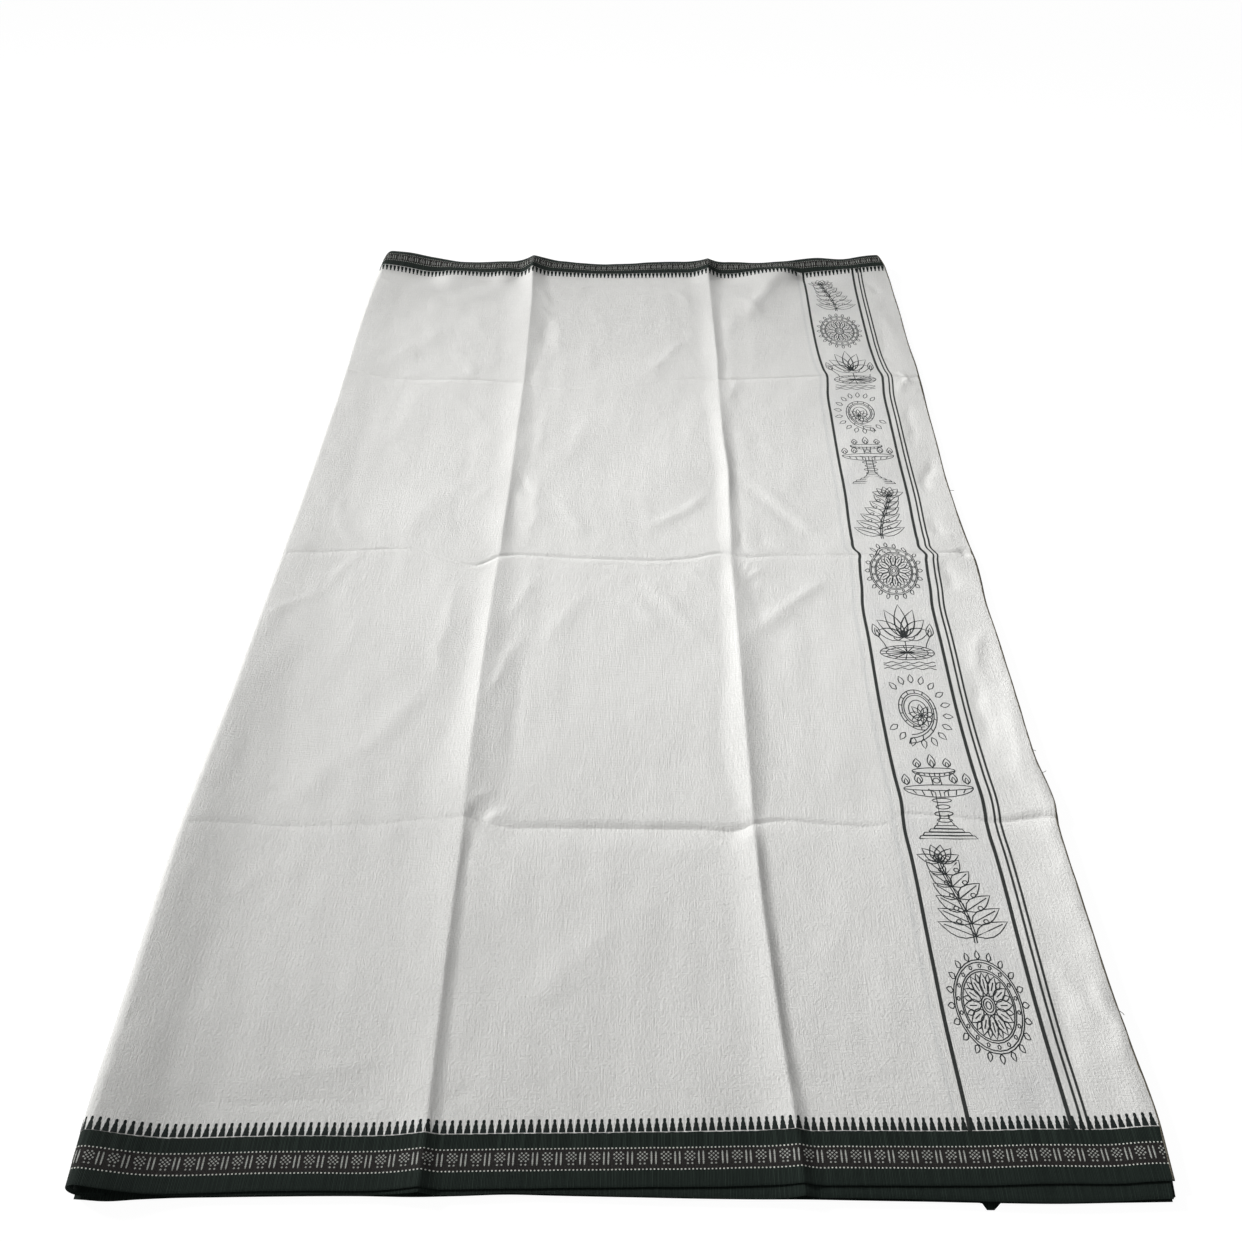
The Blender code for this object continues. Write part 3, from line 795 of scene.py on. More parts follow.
class Num:
    """A number that a shader works out, with ordinary arithmetic.

    Each operation adds a Math node to the material and gives another number.
    """

    def __init__(self, tree: bpy.types.NodeTree, socket: bpy.types.NodeSocket) -> None:
        """Wraps an output socket of a node tree."""
        self.tree = tree
        self.socket = socket

    def math(self, operation: str, *others: "float | Num", swap: bool = False) -> "Num":
        """Adds one Math node.

        Args:
            operation: the node's operation, such as ADD.
            others: the other values, numbers or plain floats.
            swap: True to put this number second.

        Returns:
            The node's result.
        """
        node = self.tree.nodes.new("ShaderNodeMath")
        node.operation = operation
        values = [*others, self] if swap else [self, *others]
        for entry, value in zip(node.inputs, values):
            if isinstance(value, Num):
                self.tree.links.new(value.socket, entry)
            else:
                entry.default_value = value
        return Num(self.tree, node.outputs[0])

    def __add__(self, other: "float | Num") -> "Num":
        """This number plus another."""
        return self.math("ADD", other)

    __radd__ = __add__

    def __mul__(self, other: "float | Num") -> "Num":
        """This number times another."""
        return self.math("MULTIPLY", other)

    __rmul__ = __mul__

    def __sub__(self, other: "float | Num") -> "Num":
        """This number less another."""
        return self.math("SUBTRACT", other)

    def __rsub__(self, other: "float | Num") -> "Num":
        """Another number less this one."""
        return self.math("SUBTRACT", other, swap=True)

    def __truediv__(self, other: "float | Num") -> "Num":
        """This number over another."""
        return self.math("DIVIDE", other)

    def __abs__(self) -> "Num":
        """This number without its sign."""
        return self.math("ABSOLUTE")

    def clear(self) -> "Num":
        """This number held between 0 and 1."""
        node = self.tree.nodes.new("ShaderNodeClamp")
        self.tree.links.new(self.socket, node.inputs["Value"])
        return Num(self.tree, node.outputs[0])


class Paint:
    """A material under construction: its nodes, and the ways to add and join them."""

    def __init__(self, name: str) -> None:
        """Starts a material with its Principled shader.

        Args:
            name: the material's name.
        """
        self.material = bpy.data.materials.new(name)
        self.material.use_nodes = True
        self.tree = self.material.node_tree
        self.shader = self.tree.nodes["Principled BSDF"]

    def node(self, kind: str, settings: dict | None = None, inputs: dict | None = None) -> bpy.types.Node:
        """Adds a node.

        Args:
            kind: the node's type.
            settings: its properties, and for a ramp its stops as (place, colour) pairs.
            inputs: values or links of its sockets, by name or index.

        Returns:
            The new node.
        """
        node = self.tree.nodes.new(kind)
        for name, value in (settings or {}).items():
            if name == "stops":
                elements = node.color_ramp.elements
                while len(elements) < len(value):
                    elements.new(1.0)
                for element, (place, colour) in zip(elements, value):
                    element.position, element.color = place, colour
            else:
                setattr(node, name, value)
        for name, value in (inputs or {}).items():
            if isinstance(value, Num):
                value = value.socket
            if isinstance(value, bpy.types.NodeSocket):
                self.tree.links.new(value, node.inputs[name])
            else:
                node.inputs[name].default_value = value
        return node

    def number(self, node: bpy.types.Node, output: str | int = 0) -> Num:
        """An output of a node as a number."""
        return Num(self.tree, node.outputs[output])

    def on_cloth(self) -> tuple[Num, Num]:
        """The way along and across the cloth at the shaded point, in metres."""
        uv = self.node("ShaderNodeUVMap", {"uv_map": UV_NAME})
        parts = self.node("ShaderNodeSeparateXYZ", inputs={0: uv.outputs["UV"]})
        return self.number(parts, "X"), self.number(parts, "Y")

    def noise(self, stretch: tuple, detail: float = 2.0) -> Num:
        """Smooth noise on the cloth's own coordinates, from 0 to 1, with its repeats per metre."""
        uv = self.node("ShaderNodeUVMap", {"uv_map": UV_NAME})
        return self.noise_at(uv.outputs["UV"], stretch, detail)

    def noise_at(self, where: bpy.types.NodeSocket, stretch: tuple, detail: float) -> Num:
        """Smooth noise on given coordinates, from 0 to 1."""
        scaled = self.node("ShaderNodeMapping", inputs={"Vector": where, "Scale": stretch})
        settings = {"Vector": scaled.outputs[0], "Scale": 1.0, "Detail": detail}
        return self.number(self.node("ShaderNodeTexNoise", inputs=settings))

    def wave(self, value: Num, pitch: float) -> Num:
        """A sine wave of a number in metres, from -1 to 1, with a pitch in metres."""
        return (value * (2 * math.pi / pitch)).math("SINE")

    def stripe(self, value: Num, middle: float, width: float, soft: float) -> Num:
        """1 inside a stripe of a number in metres and 0 outside it, with soft edges."""
        return ((width / 2 + soft / 2 - abs(value - middle)) / soft).clear()

    def mix(self, first: object, second: object, share: "Num | float") -> bpy.types.NodeSocket:
        """A colour between two others."""
        settings = {"data_type": "RGBA", "clamp_factor": True}
        return self.node("ShaderNodeMix", settings, {0: share, 6: first, 7: second}).outputs[2]

    def shaded(self, colour: object, light: Num) -> bpy.types.NodeSocket:
        """A colour times a number."""
        grey = self.node("ShaderNodeCombineXYZ", inputs={0: light, 1: light, 2: light})
        settings = {"data_type": "RGBA", "blend_type": "MULTIPLY"}
        return self.node("ShaderNodeMix", settings, {0: 1.0, 6: colour, 7: grey.outputs[0]}).outputs[2]

    def bump(self, height: Num, distance: float) -> None:
        """Gives the surface fine relief from a height between about 0 and 1."""
        settings = {"Height": height, "Distance": distance, "Strength": 1.0}
        node = self.node("ShaderNodeBump", inputs=settings)
        self.tree.links.new(node.outputs[0], self.shader.inputs["Normal"])

    def finish(self, colour: object, roughness: "Num | float", sheen: float) -> bpy.types.Material:
        """Sets the shader's colour and gloss.

        Args:
            colour: the base colour, a value or a link.
            roughness: the roughness, a value or a number.
            sheen: the weight of the soft fibre sheen, the same all over.

        Returns:
            The finished material.
        """
        if isinstance(colour, bpy.types.NodeSocket):
            self.tree.links.new(colour, self.shader.inputs["Base Color"])
        else:
            self.shader.inputs["Base Color"].default_value = colour
        if isinstance(roughness, Num):
            self.tree.links.new(roughness.socket, self.shader.inputs["Roughness"])
        else:
            self.shader.inputs["Roughness"].default_value = roughness
        self.shader.inputs["Sheen Weight"].default_value = sheen
        self.shader.inputs["Sheen Roughness"].default_value = 0.5
        self.shader.inputs["Specular IOR Level"].default_value = 0.15
        return self.material


@dataclass(frozen=True)
class BandStripes:
    """The straight stripes of the band by the cut end: their places along the cloth, before its drift."""

    left: float = 0.2143
    thick: float = 0.2783
    thin_1: float = 0.2853
    thin_2: float = 0.2893
    thick_width: float = 2.8 * MM
    thin_width: float = 1.8 * MM
    soft: float = 0.35 * MM
    colour: tuple = (0.012, 0.015, 0.014, 1.0)
    tint: tuple = (0.60, 0.605, 0.615, 1.0)
    shadow_stripe: float = 0.2062
    shadow_width: float = 2.6 * MM
    blur: float = 3 * MM

    def mask(self, paint: Paint, along: Num) -> Num:
        """1 on the stripes and 0 between them."""
        total = paint.stripe(along, self.left, self.thick_width, self.soft)
        total = total + paint.stripe(along, self.thick, self.thick_width, self.soft)
        total = total + paint.stripe(along, self.thin_1, self.thin_width, self.soft)
        total = total + paint.stripe(along, self.thin_2, self.thin_width, self.soft)
        return total.clear()


WHITE = (1.0, 1.0, 1.0, 1.0)
WHITE_COTTON = (0.735, 0.732, 0.712, 1.0)
DARK_COTTON = (0.0080, 0.0135, 0.0108, 1.0)
DARK_RIB = (0.040, 0.058, 0.047, 1.0)


@dataclass(frozen=True)
class CottonPatterns:
    """The patterns of woven cotton, each by its repeats per metre along and across."""

    patches: tuple = (11.0, 11.0, 1.0)
    clouds: tuple = (34.0, 24.0, 1.0)
    puckers: tuple = (150.0, 110.0, 1.0)
    grain: tuple = (560.0, 560.0, 1.0)
    warp: tuple = (60.0, 1500.0, 1.0)
    weft: tuple = (1500.0, 60.0, 1.0)
    ribs: tuple = (1150.0, 16.0, 1.0)
    rib_threads: tuple = (2200.0, 40.0, 1.0)
    flecks: tuple = (1500.0, 1500.0, 1.0)
    edge_steps: tuple = (230.0, 3.0, 1.0)

    def slubs(self, paint: Paint) -> Num:
        """Thick and thin yarns both ways, from 0 to 2."""
        return paint.noise(self.warp) + paint.noise(self.weft)

    def plain(self, paint: Paint) -> Num:
        """Broad soft patches, from 0 to 1."""
        return paint.noise(self.patches, 3.0)


PATTERNS = CottonPatterns()


@dataclass(frozen=True)
class Weights:
    """How much each pattern of the cotton counts in its tone or its relief."""

    base: float = 0.0
    patches: float = 0.0
    slubs: float = 0.0
    grain: float = 0.0
    puckers: float = 0.0
    weave: float = 0.0


@dataclass(frozen=True)
class GroundCotton:
    """Plain white cotton with fine uneven yarn, and the stripes of the band woven through it."""

    colour: tuple = WHITE_COTTON
    tone: Weights = Weights(base=0.775, patches=0.07, slubs=0.14, grain=0.10)
    height: Weights = Weights(weave=0.10, slubs=0.80, puckers=0.65, grain=1.1)
    show_through: tuple = (0.46, 0.48, 0.49, 1.0)
    show_share: float = 0.30
    tint_share: float = 0.45
    wear: float = 0.03
    relief: float = 0.42 * MM
    stripes: BandStripes = field(default_factory=BandStripes)
    yarn: float = 0.42 * MM
    roughness: float = 0.86
    sheen: float = 0.06

    def surface(self, paint: Paint) -> tuple[bpy.types.NodeSocket, Num]:
        """The ground's colour and relief, for any material that shows some of it.

        Args:
            paint: the material under construction.

        Returns:
            The colour and a height for the bump.
        """
        along, across = paint.on_cloth()
        slubs, grain = PATTERNS.slubs(paint), paint.noise(PATTERNS.grain)
        tone = self.tone.base + PATTERNS.plain(paint) * self.tone.patches
        tone = tone + slubs * self.tone.slubs + grain * self.tone.grain
        colour = paint.shaded(self.colour, tone)
        stripes = self.stripes
        shadow = paint.stripe(along, stripes.shadow_stripe, stripes.shadow_width, stripes.blur)
        colour = paint.mix(colour, self.show_through, shadow * self.show_share)
        width = stripes.thick - stripes.left
        in_band = paint.stripe(along, stripes.left + width / 2, width, stripes.blur)
        cloudy = ((paint.noise(PATTERNS.clouds) - 0.35) * 2.0).clear()
        colour = paint.mix(colour, stripes.tint, in_band * cloudy * self.tint_share)
        worn = 1.0 - slubs * self.wear
        colour = paint.mix(colour, stripes.colour, stripes.mask(paint, along) * worn)
        weave = paint.wave(along, self.yarn) * paint.wave(across, self.yarn)
        relief = weave * self.height.weave + slubs * self.height.slubs
        puckers = paint.noise(PATTERNS.puckers, 3.0)
        return colour, relief + puckers * self.height.puckers + grain * self.height.grain

    def material(self) -> bpy.types.Material:
        """Makes the material."""
        paint = Paint("ground cotton")
        colour, relief = self.surface(paint)
        paint.bump(relief, self.relief)
        return paint.finish(colour, self.roughness, self.sheen)


@dataclass(frozen=True)
class KaraCotton:
    """The woven border: two plain dark bands, a figured strip between them, and the white of the ground."""

    side: Selvedge
    ground: GroundCotton = field(default_factory=GroundCotton)
    plain: tuple = DARK_COTTON
    figured: tuple = (0.0160, 0.0145, 0.0140, 1.0)
    figured_light: tuple = (0.055, 0.050, 0.046, 1.0)
    rib: tuple = DARK_RIB
    roughness: float = 0.85
    sheen: float = 0.02

    def material(self) -> bpy.types.Material:
        """Makes the material. The map's second coordinate runs from the selvedge inwards here."""
        paint = Paint(f"kara cotton {self.side.value}")
        white, relief = self.ground.surface(paint)
        along, inward = paint.on_cloth()
        band = Border()
        wobble = (paint.noise(PATTERNS.edge_steps, 1.0) - 0.5) * (0.9 * MM)
        in_strip = paint.stripe(inward, band.strip_middle, band.strip_width, 0.5 * MM)
        ribs = paint.noise(PATTERNS.ribs, 0.0)
        fine = paint.noise(PATTERNS.rib_threads, 0.0)
        rib_share = ((ribs - 0.45) * 4.0).clear() * (0.12 + fine * 0.34)
        dark = paint.mix(self.plain, self.rib, rib_share)
        flecks = paint.noise(PATTERNS.flecks, 0.0)
        strip = paint.mix(self.figured, self.figured_light, ((flecks - 0.5) * 4.0).clear() * 0.45)
        dark = paint.mix(dark, strip, in_strip)
        is_white = ((inward + wobble - band.dark_end) / (0.25 * MM)).clear()
        colour = paint.mix(dark, white, is_white)
        repp = paint.wave(along, 0.9 * MM) * 0.2 + ribs * 0.4
        paint.bump(relief * (0.4 + is_white * 0.6) + repp * (1 - is_white), self.ground.relief)
        return paint.finish(colour, self.roughness, self.sheen)


@dataclass(frozen=True)
class LayerCotton:
    """The cotton of the hidden layers: white between two dark borders, with painted shade along the cut
    ends.
    """

    name: str
    far_start: float
    near_end: float
    end_shade_width: float = 3.5 * MM
    ground: GroundCotton = field(default_factory=GroundCotton)
    tone: Weights = Weights(base=0.865, patches=0.07, slubs=0.10)
    plain: tuple = DARK_COTTON
    rib: tuple = DARK_RIB
    # Painted shadow: this olive-brown at the cut ends stands for the shade under the top layer.
    end: tuple = (0.075, 0.068, 0.052, 1.0)
    end_shade_share: float = 0.85

    def material(self) -> bpy.types.Material:
        """Makes the material. The map's first coordinate is the distance from the nearer cut end here."""
        paint = Paint(self.name)
        from_end, across = paint.on_cloth()
        slubs = PATTERNS.slubs(paint)
        tone = self.tone.base + PATTERNS.plain(paint) * self.tone.patches + slubs * self.tone.slubs
        white = paint.shaded(self.ground.colour, tone)
        # Painted shade: the cut ends darken towards the olive-brown over the end width.
        at_shaded_end = ((self.end_shade_width - from_end) / (0.5 * MM)).clear()
        white = paint.mix(white, self.end, at_shaded_end * self.end_shade_share)
        ribs = paint.noise(PATTERNS.ribs, 0.0)
        dark = paint.mix(self.plain, self.rib, ((ribs - 0.45) * 4.0).clear() * 0.5)
        in_far = ((across - self.far_start) / (0.3 * MM)).clear()
        in_near = ((self.near_end - across) / (0.3 * MM)).clear()
        colour = paint.mix(white, dark, (in_far + in_near).clear())
        paint.bump(slubs, 0.08 * MM)
        return paint.finish(colour, self.ground.roughness, self.ground.sheen)


@dataclass(frozen=True)
class ThreadFinish:
    """A woven or printed thread's colour, with a little unevenness."""

    name: str
    colour: tuple
    other: tuple
    roughness: float = 0.8

    def material(self) -> bpy.types.Material:
        """Makes the material."""
        paint = Paint(self.name)
        where = paint.node("ShaderNodeTexCoord").outputs["Object"]
        grain = paint.noise_at(where, (900.0, 900.0, 900.0), 2.0)
        colour = paint.mix(self.colour, self.other, ((grain - 0.4) * 3.0).clear())
        paint.bump(paint.noise_at(where, (2600.0, 2600.0, 2600.0), 1.0), 0.05 * MM)
        return paint.finish(colour, self.roughness, 0.02)


PALE_THREAD = ThreadFinish("pale border thread", (0.40, 0.41, 0.385, 1.0), (0.19, 0.20, 0.185, 1.0))
DOT_THREAD = ThreadFinish("dotted line thread", (0.68, 0.69, 0.64, 1.0), (0.42, 0.43, 0.40, 1.0))
TOOTH_THREAD = ThreadFinish("temple tooth thread", (0.0085, 0.012, 0.0115, 1.0), (0.020, 0.027, 0.025, 1.0))
PRINT_INK = ThreadFinish("print", (0.020, 0.023, 0.024, 1.0), (0.055, 0.060, 0.060, 1.0))
# Dark olive-brown: painted shadow on the line along the cut end, and the loose threads' own colour.
END_SHADOW_AND_THREAD = ThreadFinish("end shadow and thread", (0.085, 0.076, 0.058, 1.0), (0.19, 0.175, 0.14, 1.0))


@dataclass(frozen=True)
class Border:
    """The kara's measures, from the selvedge inwards, and a tooth's half widths (mm) from root to tip."""

    width: float = 44 * MM
    dots_outer: float = 10.4 * MM
    dots_inner: float = 23.6 * MM
    dark_end: float = 33.35 * MM
    tooth_start: float = 33.95 * MM
    tooth_height: float = 8.5 * MM
    tooth_pitch: float = 4.93 * MM
    tooth_half_widths: tuple = (1.98, 1.94, 1.84, 1.74, 1.42, 1.48, 1.36, 1.00, 0.82, 1.00, 0.95, 0.60)
    dot_pitch: float = 2.36 * MM
    repeat: float = 14.6 * MM
    figure_height: float = 8.0 * MM

    @property
    def strip_middle(self) -> float:
        """The middle of the figured strip."""
        return (self.dots_outer + self.dots_inner) / 2

    @property
    def strip_width(self) -> float:
        """The width of the figured strip."""
        return self.dots_inner - self.dots_outer - 0.6 * MM


def deselect() -> None:
    """Leaves nothing selected."""
    for thing in bpy.context.selected_objects:
        thing.select_set(False)


def new_piece(name: str) -> bpy.types.Object:
    """Names the object that an operator has just added, and its mesh."""
    piece = bpy.context.object
    piece.name = name
    piece.data.name = name
    return piece


def mesh_points(piece: bpy.types.Object) -> np.ndarray:
    """A piece's vertices, as an array with a row for each."""
    points = np.zeros(len(piece.data.vertices) * 3, np.float32)
    piece.data.vertices.foreach_get("co", points)
    return points.reshape(-1, 3).astype(float)


def move_points(piece: bpy.types.Object, points: np.ndarray) -> None:
    """Moves a piece's vertices to an array of points."""
    piece.data.vertices.foreach_set("co", points.astype(np.float32).ravel())
    piece.data.update()


def choose(*pieces: bpy.types.Object) -> None:
    """Selects only these pieces and makes the first the active one."""
    deselect()
    for piece in pieces:
        piece.select_set(True)
    bpy.context.view_layer.objects.active = pieces[0]


def make_smooth(piece: bpy.types.Object, angle: float = 60.0) -> None:
    """Shades a piece smooth but for its sharp edges."""
    choose(piece)
    bpy.ops.object.shade_smooth_by_angle(angle=math.radians(angle))


def dress(piece: bpy.types.Object, material: bpy.types.Material) -> None:
    """Gives a piece its material and its body, and logs it."""
    piece.data.materials.clear()
    piece.data.materials.append(material)
    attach(piece, BODY)
    LOG.info("%s: %d faces", piece.name, len(piece.data.polygons))


def fine_tubes(name: str, strokes: Sequence, radius: float, resolution: int) -> bpy.types.Object:
    """Fine tubes along strokes, drawn as one curve and turned into a mesh.

    Args:
        name: the piece's name.
        strokes: the tubes' lines, each a row of points.
        radius: the tubes' radius.
        resolution: the curve's bevel resolution, 0 for tubes of four sides.

    Returns:
        The tubes.
    """
    drawing = bpy.data.curves.new(name, "CURVE")
    drawing.dimensions = "3D"
    drawing.bevel_depth = radius
    drawing.bevel_resolution = resolution
    for stroke in strokes:
        spline = drawing.splines.new("POLY")
        spline.points.add(len(stroke) - 1)
        for point, where in zip(spline.points, stroke):
            point.co = (*where, 1.0)
    guide = bpy.data.objects.new(name, drawing)
    bpy.context.scene.collection.objects.link(guide)
    choose(guide)
    bpy.ops.object.convert(target="MESH")
    return new_piece(name)


def laid_sheet(name: str, columns: int, rows: int, place: Callable, uv: Callable) -> bpy.types.Object:
    """A sheet of cloth: a grid whose lines are moved to their places on the form.

    Args:
        name: the piece's name.
        columns: how many lines of points it has along the cloth.
        rows: how many points each line has across it.
        place: gives the points for arrays of columns and rows.
        uv: gives the map's coordinates for the same arrays.

    Returns:
        The sheet, with its map.
    """
    deselect()
    bpy.ops.mesh.primitive_grid_add(x_subdivisions=columns - 1, y_subdivisions=rows - 1, size=2)
    piece = new_piece(name)
    flat = mesh_points(piece)
    column = np.rint((flat[:, 0] + 1) / 2 * (columns - 1)).astype(int)
    row = np.rint((flat[:, 1] + 1) / 2 * (rows - 1)).astype(int)
    move_points(piece, place(column, row))
    layer = piece.data.uv_layers[0]
    layer.name = UV_NAME
    corners = np.zeros(len(piece.data.loops), np.int32)
    piece.data.loops.foreach_get("vertex_index", corners)
    layer.uv.foreach_set("vector", uv(column, row)[corners].astype(np.float32).ravel())
    make_smooth(piece, 75)
    return piece


@dataclass(frozen=True)
class Rim:
    """The turned rim along an edge: three hidden rows that drop below the cloth's face."""

    depth: float = 0.45 * MM
    inward: tuple = (4 * MM, -0.1 * MM, -0.25 * MM)

    def rows(self, width: float, steps: int) -> tuple[np.ndarray, np.ndarray]:
        """Each row's distance from the selvedge over a width, and its drop, the rim first."""
        inward = [*self.inward, *np.linspace(0, width, steps + 1)]
        drop = [-self.depth, -self.depth, -self.depth / 2] + [0.0] * (steps + 1)
        return np.array(inward), np.array(drop)


RIM = Rim()


@dataclass
class SheetLines:
    """The lines of a sheet's grid along the cloth, packed closer at its long creases.

    Each is a stretch between two long lines with its share of the way, and a drop for the turned rim.
    """

    steps: tuple = (62, 76, 66)
    fold_steps: int = 16
    under: float = 12 * MM

    def __post_init__(self) -> None:
        """Works out the lines."""
        lines = [(-1, share, 0.0) for share in np.linspace(0, 1, self.fold_steps, endpoint=False)]
        lines.append((0, 0.0, 0.0))
        for stretch, steps in enumerate(self.steps):
            lines += [(stretch, share, 0.0) for share in closer_at_ends(steps)[1:]]
        lines += [(3, 0.25 * MM, -RIM.depth / 2), (3, -0.1 * MM, -RIM.depth), (3, -4 * MM, -RIM.depth)]
        self.stretch = np.array([line[0] for line in lines])
        self.share = np.array([line[1] for line in lines])
        self.drop = np.array([line[2] for line in lines])
        self.count = len(lines)

    def nominal(self) -> np.ndarray:
        """The way along the cloth of every line, read at the middle of the loom width."""
        return self.u(np.arange(self.count), np.full(self.count, MIDDLE_Y))

    def width(self) -> float:
        """The flat way from the first line to the cut end."""
        nominal = self.nominal()
        return float(nominal[-4] - nominal[0])

    def u(self, column: np.ndarray, y: np.ndarray) -> np.ndarray:
        """The way along the cloth of grid lines at y."""
        start = FORM.top_start(y)
        fold_end = start - math.pi * FORM.fold_radius(y) - self.under
        first, second = FORM.section(y, "crease_1"), FORM.section(y, "crease_2")
        ends = FORM.section(y, "ends")
        stretch, share = self.stretch[column], self.share[column]
        return np.select(
            [stretch == -1, stretch == 0, stretch == 1, stretch == 2],
            [
                fold_end + (start - fold_end) * share,
                start + (first - start) * share,
                first + (second - first) * share,
                second + (ends - second) * share,
            ],
            ends + share,
        )


LINES = SheetLines()


def cloth_uv(u: np.ndarray, y: np.ndarray) -> np.ndarray:
    """The map of the ground: the way along without the band's drift, and the way across, in metres."""
    return np.column_stack((u - FORM.drift(y), y))


@dataclass
class TopGround:
    """The white ground of the top layer."""

    row_steps: tuple = (66, 86, 90, 74)
    measured_at: int = 100

    def rows(self, u: np.ndarray) -> np.ndarray:
        """Every row's y for each way along the cloth, as an array of rows by ways."""
        border = Border()
        lines = [FORM.near(u, "top_y") + border.width]
        lines += [FORM.cross_y(crease, u) for crease in CROSS_CREASES]
        lines += [FORM.far(u, "y") - border.width]
        rows = [lines[0]]
        for start, end, steps in zip(lines, lines[1:], self.row_steps):
            rows += [start + (end - start) * share for share in closer_at_ends(steps)[1:]]
        return np.array(rows)

    def build(self) -> bpy.types.Object:
        y_of = self.rows(LINES.nominal())

        def place(column: np.ndarray, row: np.ndarray) -> np.ndarray:
            """The points of grid lines and rows."""
            y = y_of[row, column]
            return FORM.place(LINES.u(column, y), y, LINES.drop[column])

        def uv(column: np.ndarray, row: np.ndarray) -> np.ndarray:
            """The map of grid lines and rows."""
            y = y_of[row, column]
            return cloth_uv(LINES.u(column, y), y)

        piece = laid_sheet("top_ground_sheet", LINES.count, len(y_of), place, uv)
        dress(piece, GroundCotton().material())
        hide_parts("top_ground")
        LINES.width()
        return piece


@dataclass
class KaraBand:
    """One border of the top layer, from the selvedge's turned rim to the ground."""

    side: Selvedge
    steps: int = 27

    def way_in(self) -> tuple[np.ndarray, np.ndarray]:
        """Each row's distance from the selvedge and its drop, in the order of rising y."""
        inward, drop = RIM.rows(Border().width, self.steps)
        if self.side is Selvedge.FAR:
            inward, drop = inward[::-1], drop[::-1]
        return inward, drop

    def y(self, u: np.ndarray, inward: np.ndarray) -> np.ndarray:
        """The y of a distance from this selvedge."""
        if self.side is Selvedge.NEAR:
            return FORM.near(u, "top_y") + inward
        return FORM.far(u, "y") - inward

    def build(self) -> bpy.types.Object:
        inward, drop = self.way_in()
        nominal = LINES.nominal()

        def place(column: np.ndarray, row: np.ndarray) -> np.ndarray:
            """The points of grid lines and rows."""
            y = self.y(nominal[column], inward[row])
            return FORM.place(LINES.u(column, y), y, np.minimum(LINES.drop[column], drop[row]))

        def uv(column: np.ndarray, row: np.ndarray) -> np.ndarray:
            """The map of grid lines and rows."""
            y = self.y(nominal[column], inward[row])
            return np.column_stack((LINES.u(column, y) - FORM.drift(y), inward[row]))

        piece = laid_sheet(f"kara_{self.side.value}_sheet", LINES.count, len(inward), place, uv)
        dress(piece, KaraCotton(self.side).material())
        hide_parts(f"top_kara_{self.side.value}")
        flat = (LINES.width(), Border().width)
        return piece


